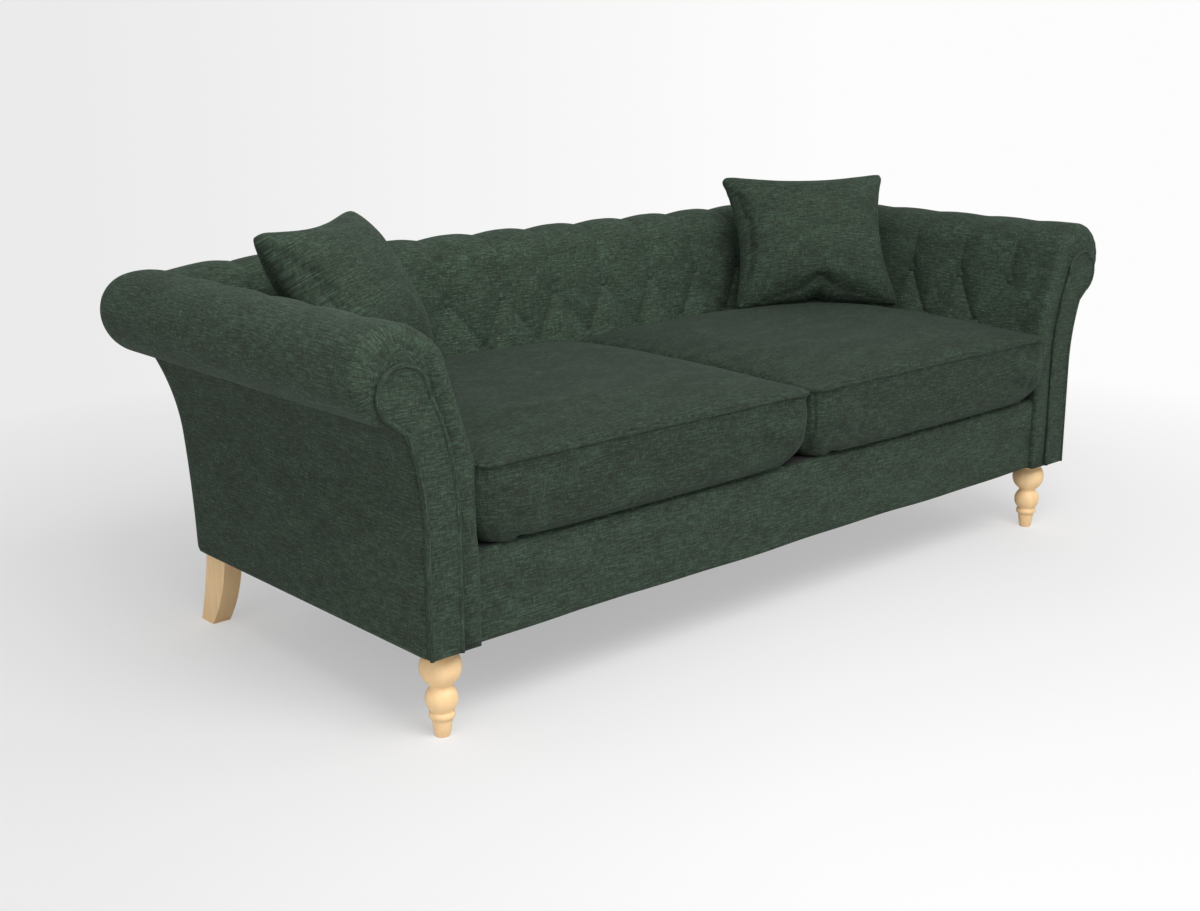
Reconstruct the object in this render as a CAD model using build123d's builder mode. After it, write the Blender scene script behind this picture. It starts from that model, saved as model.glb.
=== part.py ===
from build123d import *
from math import ceil, cos, hypot, radians, sin, sqrt
import os

os.makedirs("parts", exist_ok=True)

# Three-seater club sofa with rolled arms and a deep-buttoned back, in millimetres.
# +X is to the viewer's right, the front faces -Y, and the floor is z = 0 under the middle of the sofa.

# Overall sizes
overall_width = 2094
overall_depth = 970
arm_height = 729
leg_height = 163
side_inset = 116

# Rolled wall that goes round the seat: the arms and the back share it
roll_radius = 81
core_radius = 31
wall_lean = 17
roll_notch = 9
roll_front_round = 25
over_sides = 3
round_sides = 8
back_rake = 69
back_bow = 15
side_straight = 237
panel = 6

# Deep buttoning
back_columns = 11
back_end = 201
arm_columns = 5
arm_front_end = 134
arm_back_end = 151
row_height = 600
row_spacing = 118
tuft_depth = 24
button_radius = 11
button_height = 8
button_taper = 30
button_sides = 8
button_sink = 4
button_clearance = 0.4

# Seat
rail_top = 311
rail_thickness = 28
deck_height = 330
skirt_top = 470
cushion_overhang = 20
cushion_gap = 1
cushion_side_gap = 1
cushion_back_gap = 4
cushion_lift = 0.3
seam_height = 150
crown_rise = 27
cushion_corner = 45
side_draw = 4
cushion_wrap = 12
zip_length = 520
zip_width = 6

# Arm fronts
facing = 8
facing_width = 65
scroll_radius = 48
scroll_drop = 28
scroll_offset = 2
board = 24
piping_radius = 4
border = 10
border_setback = 12

# Legs
leg_inset = 172
leg_setback = 48
back_leg_width = 39
back_leg_inset = 22
back_leg_top = 73
back_leg_foot = 46
back_leg_kick = 43
bolt_radius = 5
bolt_length = 90
bolt_clearance = 0.1
bolt_sides = 8

# Dust cover
dust_thickness = 1.5
dust_margin = 3

# Webbing
webbing = 2
strap_width = 50
bay_straps = 3
cross_straps = 4
back_bay_straps = 3

# Scatter cushions
scatter_width = 420
scatter_height = 360
scatter_thickness = 120
scatter_draw = 26
scatter_zip_length = 260
scatter_core_scale = 0.75
scatter_core_thickness = 40
scatter_turn = 33.5
scatter_lean = 30
scatter_side = 151
scatter_back = 140
scatter_rise = 154.8

# Places that follow from the sizes above
front_y = -overall_depth / 2 + cushion_overhang
roll_x = overall_width / 2 - roll_radius
roll_y = overall_depth / 2 - roll_radius
roll_z = arm_height - roll_radius
side_x = overall_width / 2 - side_inset
under_roll = roll_z - roll_radius
post_top = roll_z - core_radius * 0.7
pad_thickness = roll_radius - core_radius - webbing
lean_sin = sin(radians(wall_lean))
lean_cos = cos(radians(wall_lean))
facing_back = front_y + facing
board_back = facing_back + board


def crest_offset(z):
    """Distance from the roll's axis, towards the room, of the padding's crest plane at a height."""
    return (roll_radius - (z - roll_z) * lean_sin) / lean_cos


def backing_offset(z):
    """The same for the plane that the padding rests on."""
    return (core_radius - (z - roll_z) * lean_sin) / lean_cos


skirt_crest = crest_offset(row_height - row_spacing)
skirt_backing = backing_offset(row_height - row_spacing)
arm_face_x = roll_x - skirt_crest
arm_backing_x = roll_x - skirt_backing
arm_low_x = roll_x - crest_offset(skirt_top)

# Directions along a wall, towards the room and up its slope
back_along = Vector(1, 0, 0)
back_room = Vector(0, -lean_cos, lean_sin)
back_up = Vector(0, lean_sin, lean_cos)
arm_along = Vector(0, -1, 0)
arm_room = Vector(-lean_cos, 0, lean_sin)
arm_up = Vector(lean_sin, 0, lean_cos)
back_axis = Vector(0, roll_y, roll_z)
arm_axis = Vector(roll_x, 0, roll_z)

# The upper row of buttons lies this far below the line where the roll begins
run_length = (roll_z + roll_radius * lean_sin - row_height) / lean_cos
back_row = back_axis + back_room * roll_radius - back_up * run_length
arm_row = arm_axis + arm_room * roll_radius - arm_up * run_length
back_pad = Plane(back_row, x_dir=back_along, z_dir=back_room)
arm_pad = Plane(arm_row, x_dir=arm_along, z_dir=arm_room)

# The corners of the wall are mitred at 45 degrees
arm_mitre = Plane((roll_x, roll_y, 0), z_dir=(1, -1, 0))
back_mitres = [Plane((side * roll_x, roll_y, 0), z_dir=(-side, 1, 0)) for side in (-1, 1)]

# Button columns, measured along each wall; the arm's first column is the nearest to the front
back_pitch = 2 * (roll_x - back_end) / (back_columns - 1)
back_notches = [n * back_pitch - roll_x + back_end for n in range(back_columns)]
arm_front_notch = -front_y - arm_front_end
arm_pitch = (roll_y - arm_back_end + arm_front_notch) / (arm_columns - 1)
arm_notches = [arm_front_notch - n * arm_pitch for n in range(arm_columns)]
back_buttons_at = [(u, 0) for u in back_notches]
back_buttons_at += [(u + back_pitch / 2, -row_spacing) for u in back_notches[:-1]]
arm_buttons_at = [(u, 0) for u in arm_notches]
arm_buttons_at += [(u - arm_pitch / 2, -row_spacing) for u in arm_notches[:-1]]


def keep(piece, name):
    """Name a finished piece and write it."""
    piece.part.label = name
    export_step(piece.part, f"parts/{name}.step")


def keep_pair(piece, name):
    """Write a piece of the right side and its mirror image on the left."""
    keep(piece, f"{name}_right")
    with BuildPart() as twin:
        mirror(piece.part, about=Plane.YZ)
    keep(twin, f"{name}_left")


def wall_curve(start, lean_in, top):
    """Outside line of a wall, bowed, from its foot to the under side of the roll."""
    middle = ((start[0] + top[0]) / 2 - lean_in, (start[1] + top[1]) / 2)
    return ThreePointArc(start, middle, top)


def arch(left, right, low, rise):
    """Points of a padded arch between two pleats: its feet, its shoulders and its crown."""
    shares = (0, 0.2, 0.5, 0.8, 1)
    return [(left + t * (right - left), low + rise * 4 * t * (1 - t)) for t in shares]


def scallops(notches, end_run):
    """Outline of a roll along its length, drawn in at each notch, with half an arch at either end."""
    ordered = sorted(notches)
    low = roll_radius - roll_notch
    starts = [ordered[0] - 2 * end_run] + ordered
    ends = ordered + [ordered[-1] + 2 * end_run]
    outline = [point for left, right in zip(starts, ends) for point in arch(left, right, low, roll_notch)[1:]]
    crown = slice(1, -2)
    return outline[crown]


def slant_pleats(pad, pitch, reach, side, mode):
    """Padding crossed by one family of slanting pleats, arched between them."""
    run = hypot(pitch / 2, row_spacing)
    along = pad.x_dir * (side * pitch / 2 / run) - pad.y_dir * (row_spacing / run)
    across = pad.z_dir.cross(along)
    spacing = pitch * row_spacing / run
    count = ceil(reach / spacing) + 1
    with BuildSketch(Plane(pad.origin, x_dir=across, z_dir=along)) as section:
        with BuildLine():
            outline = [(-count * spacing, -tuft_depth)]
            for k in range(-count, count):
                outline += arch(k * spacing, (k + 1) * spacing, -tuft_depth, tuft_depth)[1:]
            edge = count * spacing
            Polyline(*outline, (edge, -pad_thickness), (-edge, -pad_thickness), close=True)
        make_face()
    extrude(section.sketch, amount=reach, both=True, mode=mode)


def button_seats(pad, places):
    """Round recesses that the buttons are pulled into."""
    depth = tuft_depth + button_sink
    with BuildSketch(pad) as seats:
        with Locations(*places):
            RegularPolygon(button_radius + button_clearance, button_sides)
    extrude(seats.sketch, amount=-depth, mode=Mode.SUBTRACT)


def button_row(pad, places):
    """Covered buttons, domed, seated at the bottom of their recesses."""
    foot = pad.offset(-tuft_depth - button_sink)
    with BuildPart() as one:
        with BuildSketch():
            RegularPolygon(button_radius, button_sides)
        extrude(amount=button_height, taper=button_taper)
    with BuildPart() as row:
        for u, v in places:
            spot = Plane(foot.from_local_coords(Vector(u, v, 0)), x_dir=foot.x_dir, z_dir=foot.z_dir)
            add(spot.location * one.part)
    return row


def back_wall_core():
    """Section of the back wall between the padding and the outside back, on the YZ plane."""
    with BuildLine() as outline:
        wall_curve((roll_y - back_rake - panel, leg_height), back_bow, (roll_y - panel, under_roll))
        Polyline(
            (roll_y - panel, under_roll),
            (roll_y - panel, post_top),
            (roll_y - backing_offset(post_top), post_top),
            (roll_y - backing_offset(leg_height), leg_height),
            (roll_y - back_rake - panel, leg_height),
        )
    make_face(outline.edges())


def arm_outside(inset):
    """Outside line of an arm: upright, then flared to the under side of the roll."""
    bend = leg_height + side_straight
    Line((side_x - inset, leg_height), (side_x - inset, bend))
    TangentArc((side_x - inset, bend), (roll_x - inset, under_roll), tangent=(0, 1))


def arm_wall_core():
    """Section of an arm between the padding and the outside arm, on a plane facing the front."""
    knee = row_height - row_spacing
    with BuildLine() as outline:
        arm_outside(panel)
        Polyline(
            (roll_x - panel, under_roll),
            (roll_x - panel, post_top),
            (roll_x - backing_offset(post_top), post_top),
            (arm_backing_x, knee),
            (arm_backing_x, leg_height),
            (side_x - panel, leg_height),
        )
    make_face(outline.edges())


def front_plane(y):
    """Upright plane at a depth, with X to the right and Z up."""
    return Plane((0, y, 0), x_dir=(1, 0, 0), z_dir=(0, -1, 0))


side_rail_x = side_x - panel - rail_thickness
back_rail_y = roll_y - back_rake - panel - rail_thickness
front_rail_y = front_y + border_setback + border
cross_start = front_rail_y + rail_thickness
side_rail_top = rail_top + webbing

# Legs stand under the corners; a hanger bolt goes up from each into the rail and a glued corner block
front_leg_at = (overall_width / 2 - leg_inset, front_y + leg_setback)
back_leg_back = roll_y - back_rake
back_leg_at = (side_x - back_leg_inset - back_leg_width / 2, back_leg_back - back_leg_top / 2)
bolt_places = [(side * x, y) for x, y in (front_leg_at, back_leg_at) for side in (-1, 1)]
bolt_foot = leg_height - bolt_length / 2


def drill(radius):
    """Holes for the four hanger bolts, upwards from the middle of each bolt."""
    with BuildSketch(Plane.XY.offset(bolt_foot)) as holes:
        with Locations(*bolt_places):
            RegularPolygon(radius, bolt_sides)
    extrude(holes.sketch, amount=bolt_length, mode=Mode.SUBTRACT)


# Seat frame: rails joined at the corners, the side rails a webbing's thickness taller
with BuildPart() as front_rail:
    with BuildSketch(Plane.XY.offset(leg_height)):
        with Locations((0, front_rail_y + rail_thickness / 2)):
            Rectangle(2 * arm_backing_x, rail_thickness)
    extrude(amount=rail_top - leg_height)
    drill(bolt_radius + bolt_clearance)
keep(front_rail, "front_rail")

with BuildPart() as back_rail:
    with BuildSketch(Plane.XY.offset(leg_height)):
        with Locations((0, back_rail_y + rail_thickness / 2)):
            Rectangle(2 * side_rail_x, rail_thickness)
    extrude(amount=rail_top - leg_height)
    drill(bolt_radius + bolt_clearance)
keep(back_rail, "back_rail")

side_rail_length = back_rail_y + rail_thickness - board_back
with BuildPart() as side_rail:
    with BuildSketch(Plane.XY.offset(leg_height)):
        with Locations((side_rail_x + rail_thickness / 2, board_back + side_rail_length / 2)):
            Rectangle(rail_thickness, side_rail_length)
    extrude(amount=side_rail_top - leg_height)
keep_pair(side_rail, "side_rail")

cross_length = back_rail_y - cross_start
cross_height = (rail_top - leg_height) * 0.6
with BuildPart() as cross_rails:
    with BuildSketch(Plane.XY.offset(leg_height)):
        with Locations((0, cross_start + cross_length / 2)):
            with GridLocations(2 * side_rail_x / 3, 1, 2, 1):
                Rectangle(rail_thickness, cross_length)
    extrude(amount=cross_height)
keep(cross_rails, "seat_cross_rails")

block_size = 110
block_height = 60
with BuildPart() as corner_blocks:
    with BuildSketch(Plane.XY.offset(leg_height)):
        for y, turn in ((cross_start, 1), (back_rail_y, -1)):
            with BuildLine():
                Polyline(
                    (side_rail_x, y),
                    (side_rail_x - block_size, y),
                    (side_rail_x, y + turn * block_size),
                    close=True,
                )
            make_face()
        mirror(about=Plane.YZ)
    extrude(amount=block_height)
    drill(bolt_radius + bolt_clearance)
keep(corner_blocks, "corner_blocks")

with BuildPart() as leg_bolts:
    with BuildSketch(Plane.XY.offset(bolt_foot)):
        with Locations(*bolt_places):
            RegularPolygon(bolt_radius, bolt_sides)
    extrude(amount=bolt_length)
keep(leg_bolts, "leg_bolts")

# Turned front leg: collar, ball, neck, vase, bead and a tapered foot, as radius and height
collar_radius = 31
ball_radius = 37
neck_radius = 20
vase_radius = 29
bead_radius = 23
foot_radius = 18
toe_radius = 13.5
collar_height = 8
ball_middle = leg_height - 36
vase_middle = leg_height - 94
vase_bottom = leg_height - 117
bead_bottom = leg_height - 128


def turned_bulge(radius, middle, top_radius, bottom_radius):
    """Round part of a turned leg as four points from its upper end to its lower end."""
    shoulder = radius * 0.38
    start = (top_radius, middle + sqrt(radius * radius - top_radius * top_radius))
    end = (bottom_radius, middle - sqrt(radius * radius - bottom_radius * bottom_radius))
    return [start, (radius, middle + shoulder), (radius, middle - shoulder), end]


with BuildPart() as front_legs:
    with BuildSketch(Plane((*front_leg_at, 0), x_dir=(1, 0, 0), z_dir=(0, -1, 0))):
        with BuildLine():
            Polyline(
                (0, leg_height),
                (collar_radius, leg_height),
                (collar_radius, leg_height - collar_height),
                *turned_bulge(ball_radius, ball_middle, neck_radius + 6, neck_radius),
                *turned_bulge(vase_radius, vase_middle, neck_radius, neck_radius + 1),
                (bead_radius, vase_bottom),
                (bead_radius, bead_bottom),
                (foot_radius, bead_bottom),
                (toe_radius, 0),
                (0, 0),
                close=True,
            )
        make_face()
    revolve(axis=Axis((*front_leg_at, 0), (0, 0, 1)))
    mirror(about=Plane.YZ)
    drill(bolt_radius + bolt_clearance)
keep(front_legs, "front_legs")

# Sabre back leg: square, swept back to the foot and tapering
toe_back = back_leg_back + back_leg_kick
with BuildPart() as back_leg:
    with BuildSketch(Plane.YZ.offset(back_leg_at[0])):
        with BuildLine():
            front_top = (back_leg_back - back_leg_top, leg_height)
            front_middle = (back_leg_back - back_leg_top * 0.72, leg_height * 0.5)
            front_foot = (toe_back - back_leg_foot, 0)
            Line((back_leg_back, leg_height), front_top)
            ThreePointArc(front_top, front_middle, front_foot)
            Line(front_foot, (toe_back, 0))
            back_middle = (back_leg_back + back_leg_kick * 0.4, leg_height * 0.5)
            ThreePointArc((toe_back, 0), back_middle, (back_leg_back, leg_height))
        make_face()
    extrude(amount=back_leg_width / 2, both=True)
    drill(bolt_radius + bolt_clearance)
keep_pair(back_leg, "back_leg")

# Arm frame: a scroll-headed front board, a back post, a round top rail on them and a tack rail at seat height
with BuildPart() as arm_front:
    with BuildSketch(front_plane(facing_back)):
        arm_wall_core()
        with Locations((roll_x, roll_z)):
            Circle(core_radius)
    extrude(amount=-board)
keep_pair(arm_front, "arm_front_board")

post_height = post_top - side_rail_top
arm_post_y = roll_y - skirt_crest - 2 * rail_thickness
with BuildPart() as arm_post:
    with BuildSketch(front_plane(arm_post_y)):
        arm_wall_core()
        with Locations((roll_x, side_rail_top + post_height / 2)):
            Rectangle(overall_width, post_height, mode=Mode.INTERSECT)
    extrude(amount=-rail_thickness)
keep_pair(arm_post, "arm_back_post")

tack_height = 45
tack_thickness = 22
tack_z = deck_height + 15
arm_tack_length = arm_post_y - board_back
with BuildPart() as arm_tack_rail:
    with BuildSketch(Plane.XY.offset(tack_z)):
        with Locations((arm_backing_x + tack_thickness / 2, board_back + arm_tack_length / 2)):
            Rectangle(tack_thickness, arm_tack_length)
    extrude(amount=tack_height)
keep_pair(arm_tack_rail, "arm_tack_rail")


def top_rail_section():
    """Round rail with a flat under side, centred on its own axis."""
    Circle(core_radius)
    with Locations((0, (post_top - roll_z + core_radius) / 2)):
        Rectangle(3 * core_radius, core_radius + roll_z - post_top, mode=Mode.INTERSECT)


with BuildPart() as arm_top_rail:
    with BuildSketch(Plane((roll_x, board_back, roll_z), x_dir=(1, 0, 0), z_dir=(0, -1, 0))):
        top_rail_section()
    extrude(amount=board_back - roll_y)
    split(bisect_by=arm_mitre, keep=Keep.TOP)
keep_pair(arm_top_rail, "arm_top_rail")

with BuildPart() as back_top_rail:
    with BuildSketch(Plane((0, roll_y, roll_z), x_dir=(0, 1, 0), z_dir=(1, 0, 0))):
        top_rail_section()
    extrude(amount=roll_x, both=True)
    for mitre in back_mitres:
        split(bisect_by=mitre, keep=Keep.TOP)
keep(back_top_rail, "back_top_rail")

# Back frame: raked uprights on the back rail, with a tack rail let between them at seat height
upright_width = 45
uprights = 4
upright_reach = roll_y - backing_offset(rail_top) + roll_x - roll_y - upright_width
upright_step = 2 * upright_reach / (uprights - 1)
with BuildPart() as back_uprights:
    with BuildSketch(Plane.YZ):
        back_wall_core()
        with Locations((roll_y, (rail_top + post_top) / 2)):
            Rectangle(overall_depth, post_top - rail_top, mode=Mode.INTERSECT)
    slab = extrude(amount=upright_width / 2, both=True, mode=Mode.PRIVATE)
    with GridLocations(upright_step, 1, uprights, 1):
        add(slab)
keep(back_uprights, "back_uprights")

backing = Plane(back_axis + back_room * core_radius, x_dir=back_along, z_dir=back_room)
slope_top = roll_z + core_radius * lean_sin
back_tack_low = (tack_z - slope_top) / lean_cos
with BuildPart() as back_tack_rail:
    with BuildSketch(backing):
        with Locations((0, back_tack_low + tack_height / 2)):
            with GridLocations(upright_step, 1, uprights - 1, 1):
                Rectangle(upright_step - upright_width, tack_height)
    extrude(amount=-tack_thickness)
keep(back_tack_rail, "back_tack_rail")

# Elastic webbing: straps from front to back in the bays between the uprights, then straps from side to side
bay_step = (upright_step - upright_width) / bay_straps
strap_length = back_rail_y + rail_thickness - front_rail_y
with BuildPart() as seat_webbing:
    with BuildSketch(Plane.XY.offset(rail_top)):
        with Locations((0, front_rail_y + strap_length / 2)):
            with GridLocations(upright_step, 1, uprights - 1, 1):
                with GridLocations(bay_step, 1, bay_straps, 1):
                    Rectangle(strap_width, strap_length)
    extrude(amount=webbing)
keep(seat_webbing, "seat_webbing")

cross_reach = arm_post_y - cross_start
with BuildPart() as cross_webbing:
    with BuildSketch(Plane.XY.offset(side_rail_top)):
        with Locations((0, cross_start + cross_reach / 2)):
            with GridLocations(1, cross_reach / cross_straps, 1, cross_straps):
                Rectangle(2 * (side_rail_x + rail_thickness), strap_width)
    extrude(amount=webbing)
keep(cross_webbing, "seat_cross_webbing")

# Back webbing runs up the slope behind the padding, from the tack rail to the top rail
back_step = (upright_step - upright_width) / back_bay_straps
with BuildPart() as back_webbing:
    with BuildSketch(backing):
        with Locations((0, back_tack_low / 2)):
            with GridLocations(upright_step, 1, uprights - 1, 1):
                with GridLocations(back_step, 1, back_bay_straps, 1):
                    Rectangle(strap_width, -back_tack_low)
    extrude(amount=webbing)
keep(back_webbing, "back_webbing")

# Seat platform: a felted panel over the webbing, and the padded border on the front rail
platform_back = roll_y - backing_offset(rail_top)
platform_z = side_rail_top + webbing
with BuildPart() as platform:
    with BuildSketch(Plane.XY.offset(platform_z)):
        with Locations((0, (front_rail_y + platform_back) / 2)):
            Rectangle(2 * arm_backing_x, platform_back - front_rail_y)
    extrude(amount=deck_height - platform_z)
    nose = platform.edges().filter_by(Axis.X).group_by(Axis.Y)[0].sort_by(Axis.Z)[-1]
    fillet(nose, (deck_height - platform_z) * 0.6)
keep(platform, "seat_platform")

with BuildPart() as front_border:
    with BuildSketch(Plane.XY.offset(leg_height)):
        with Locations((0, front_rail_y - border / 2)):
            Rectangle(2 * arm_face_x, border)
    extrude(amount=platform_z - leg_height)
    fillet(front_border.edges().filter_by(Axis.X).group_by(Axis.Y)[0], border * 0.6)
keep(front_border, "front_border")

# Buttoned inside back: two families of arched pleats crossing in diamonds, trimmed to the back's outline
back_reach = roll_x + row_spacing
back_drop = (row_height - deck_height) / lean_cos + pad_thickness
with BuildPart() as inside_back:
    slant_pleats(back_pad, back_pitch, back_reach, 1, Mode.ADD)
    slant_pleats(back_pad, back_pitch, back_reach, -1, Mode.INTERSECT)
    with BuildSketch(back_pad):
        with Locations((0, -back_drop / 2)):
            Rectangle(2 * roll_x, back_drop)
    extrude(amount=-pad_thickness, mode=Mode.INTERSECT)
    for mitre in back_mitres:
        split(bisect_by=mitre, keep=Keep.TOP)
    split(bisect_by=Plane.XY.offset(deck_height), keep=Keep.TOP)
    button_seats(back_pad, back_buttons_at)
keep(inside_back, "inside_back")
keep(button_row(back_pad, back_buttons_at), "back_buttons")


def directions(turns, radius):
    """Points round the roll's axis at some turns above the outward level."""
    return [(radius * cos(radians(turn)), radius * sin(radians(turn))) for turn in turns]


# The roll's padding is many-sided: it goes from the room side over the top to under the roll
over_step = (90 - wall_lean) / over_sides
outer_turns = [180 - wall_lean - k * over_step for k in range(over_sides)]
round_turns = [90 - k * 180 / round_sides for k in range(round_sides + 1)]
core_turns = [-90, -45, 0, 45, 90, (270 - wall_lean) / 2, 180 - wall_lean]
core_reach = core_radius / cos(radians(22.5))
run_step = (-lean_sin * run_length, -lean_cos * run_length)


def roll_section(radius):
    """Section of a roll: a ring open at the bottom towards the room, with a run down to the buttons."""
    outer = directions(outer_turns + round_turns, radius)
    inner = directions(core_turns, core_reach)
    seat = directions([180 - wall_lean], core_radius + webbing)[0]
    start = (outer[0][0] + run_step[0], outer[0][1] + run_step[1])
    end = (seat[0] + run_step[0], seat[1] + run_step[1])
    with BuildLine() as outline:
        Polyline(start, *outer, *inner, seat, end, close=True)
    make_face(outline.edges())


def corner_turn(plane, axis):
    """Eighth of a ball that carries a roll round the corner as far as the mitre."""
    with BuildSketch(plane) as half_ring:
        with BuildLine() as outline:
            inner = directions([-90, -45, 0, 45, 90], core_reach)
            Polyline(*directions(round_turns, roll_radius), *inner, close=True)
        make_face(outline.edges())
    revolve(half_ring.sketch, axis=axis, revolution_arc=45)


# Scalloped back roll: padding round the top rail, drawn in at each column of buttons, with a run down to them
back_outline = [(-roll_x, roll_radius), *scallops(back_notches, back_pitch / 2), (roll_x, roll_radius)]
right_corner = Vector(roll_x, roll_y, roll_z)
left_corner = Vector(-roll_x, roll_y, roll_z)
with BuildPart() as back_roll:
    for x, radius in back_outline:
        with BuildSketch(Plane((x, roll_y, roll_z), x_dir=(0, 1, 0), z_dir=(1, 0, 0))):
            roll_section(radius)
    loft(ruled=True)
    for mitre in back_mitres:
        split(bisect_by=mitre, keep=Keep.TOP)
    button_seats(back_pad, back_buttons_at)
    corner_turn(Plane(right_corner, x_dir=(0, 1, 0), z_dir=(1, 0, 0)), Axis(right_corner, (0, 0, -1)))
    corner_turn(Plane(left_corner, x_dir=(0, 1, 0), z_dir=(1, 0, 0)), Axis(left_corner, (0, 0, 1)))
keep(back_roll, "back_roll")

# Inside arm: the same buttoning, a plain stretch at the front with a rounded edge, and a skirt
# that goes down beside the seat cushion
arm_front_u = -facing_back
arm_back_u = -roll_y
arm_drop = (row_height - skirt_top) / lean_cos
stretch_round = 25
with BuildPart() as inside_arm:
    slant_pleats(arm_pad, arm_pitch, overall_depth, 1, Mode.ADD)
    slant_pleats(arm_pad, arm_pitch, overall_depth, -1, Mode.INTERSECT)
    with BuildSketch(arm_pad):
        with Locations(((arm_front_notch + arm_back_u) / 2, -arm_drop / 2)):
            Rectangle(arm_front_notch - arm_back_u, arm_drop)
    extrude(amount=-pad_thickness, mode=Mode.INTERSECT)
    with BuildSketch(Plane(arm_pad.origin, x_dir=arm_along, z_dir=-arm_up)):
        with BuildLine():
            Polyline(
                *arch(arm_front_notch, arm_front_notch + arm_pitch, -tuft_depth, tuft_depth)[:3],
                (arm_front_u - stretch_round, 0),
            )
            ThreePointArc(
                (arm_front_u - stretch_round, 0),
                (arm_front_u - stretch_round * 0.29, -stretch_round * 0.29),
                (arm_front_u, -stretch_round),
            )
            Polyline(
                (arm_front_u, -stretch_round),
                (arm_front_u, -pad_thickness),
                (arm_front_notch, -pad_thickness),
                (arm_front_notch, -tuft_depth),
            )
        make_face()
    extrude(amount=arm_drop)
    with BuildSketch(Plane.XY.offset(deck_height)):
        with Locations(((arm_face_x + arm_backing_x) / 2, (roll_y + facing_back) / 2)):
            Rectangle(skirt_crest - skirt_backing, roll_y - facing_back)
    extrude(amount=skirt_top - deck_height)
    with BuildSketch(Plane.XY.offset(leg_height)):
        with Locations(((arm_face_x + arm_backing_x) / 2, (front_rail_y + facing_back) / 2)):
            Rectangle(skirt_crest - skirt_backing, front_rail_y - facing_back)
    extrude(amount=deck_height - leg_height)
    button_seats(arm_pad, arm_buttons_at)
    split(bisect_by=arm_mitre, keep=Keep.TOP)
keep_pair(inside_arm, "inside_arm")

with BuildPart() as arm_buttons:
    add(button_row(arm_pad, arm_buttons_at).part)
keep_pair(arm_buttons, "arm_buttons")

# Arm roll: scalloped like the back roll, plain and rounded off at the front
arm_outline = [
    (arm_back_u, roll_radius),
    *scallops(arm_notches, arm_pitch / 2),
    (arm_front_u - roll_front_round, roll_radius),
    (arm_front_u - roll_front_round * 0.29, roll_radius - roll_front_round * 0.29),
    (arm_front_u, roll_radius - roll_front_round),
]
with BuildPart() as arm_roll:
    for u, radius in arm_outline:
        with BuildSketch(Plane((roll_x, -u, roll_z), x_dir=(1, 0, 0), z_dir=(0, -1, 0))):
            roll_section(radius)
    loft(ruled=True)
    split(bisect_by=arm_mitre, keep=Keep.TOP)
    button_seats(arm_pad, arm_buttons_at)
    corner_turn(Plane(right_corner, x_dir=(1, 0, 0), z_dir=(0, -1, 0)), Axis(right_corner, (0, 0, 1)))
keep_pair(arm_roll, "arm_roll")

# Outside arm: a stiffened panel from the facing to the outside back
with BuildPart() as outside_arm:
    with BuildSketch(front_plane(facing_back)):
        with BuildLine():
            arm_outside(0)
            Line((roll_x, under_roll), (roll_x - panel, under_roll))
            arm_outside(panel)
            Line((side_x - panel, leg_height), (side_x, leg_height))
        make_face()
    extrude(amount=facing_back - roll_y)
    with BuildSketch(Plane.YZ):
        with BuildLine():
            wall_curve((back_leg_back, leg_height), back_bow, (roll_y, under_roll))
            Polyline(
                (roll_y, under_roll),
                (facing_back, under_roll),
                (facing_back, leg_height),
                (back_leg_back, leg_height),
            )
        make_face()
    extrude(amount=overall_width, mode=Mode.INTERSECT)
keep_pair(outside_arm, "outside_arm")

# Outside back: a panel between the outside arms
with BuildPart() as outside_back:
    with BuildSketch(Plane.YZ):
        with BuildLine():
            wall_curve((back_leg_back, leg_height), back_bow, (roll_y, under_roll))
            Line((roll_y, under_roll), (roll_y - panel, under_roll))
            wall_curve((back_leg_back - panel, leg_height), back_bow, (roll_y - panel, under_roll))
            Line((back_leg_back - panel, leg_height), (back_leg_back, leg_height))
        make_face()
    extrude(amount=roll_x, both=True)
    with BuildSketch(front_plane(0)):
        with BuildLine():
            arm_outside(panel)
            Polyline(
                (roll_x - panel, under_roll),
                (0, under_roll),
                (0, leg_height),
                (side_x - panel, leg_height),
            )
        make_face()
        mirror(about=Plane.YZ)
    extrude(amount=-overall_depth, mode=Mode.INTERSECT)
keep(outside_back, "outside_back")

# Arm facing: a covered board with a scroll head, and the piping sewn round it
scroll_x = roll_x - scroll_offset
scroll_z = roll_z - scroll_drop
facing_inner = side_x - facing_width
facing_bend = leg_height + side_straight


def scroll_front(inset):
    """Outline of an arm's front, drawn in from its edge: a stem with a scroll head."""
    inner = facing_inner + inset
    head = scroll_radius - inset
    with BuildLine() as stem:
        arm_outside(inset)
        Line((roll_x - inset, under_roll), (scroll_x - head, scroll_z))
        TangentArc((inner, facing_bend), (scroll_x - head, scroll_z), tangent=(0, 1))
        Polyline((inner, facing_bend), (inner, leg_height), (side_x - inset, leg_height))
    make_face(stem.edges())
    with Locations((scroll_x, scroll_z)):
        Circle(head)


with BuildPart() as arm_facing:
    with BuildSketch(front_plane(facing_back)):
        scroll_front(2 * piping_radius)
    extrude(amount=facing)
keep_pair(arm_facing, "arm_facing")

with BuildPart() as facing_piping:
    with BuildSketch(front_plane(facing_back)):
        scroll_front(0)
    extrude(amount=facing + piping_radius)
    with BuildSketch(front_plane(facing_back)):
        scroll_front(2 * piping_radius)
    extrude(amount=facing + piping_radius, mode=Mode.SUBTRACT)
keep_pair(facing_piping, "facing_piping")

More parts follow.
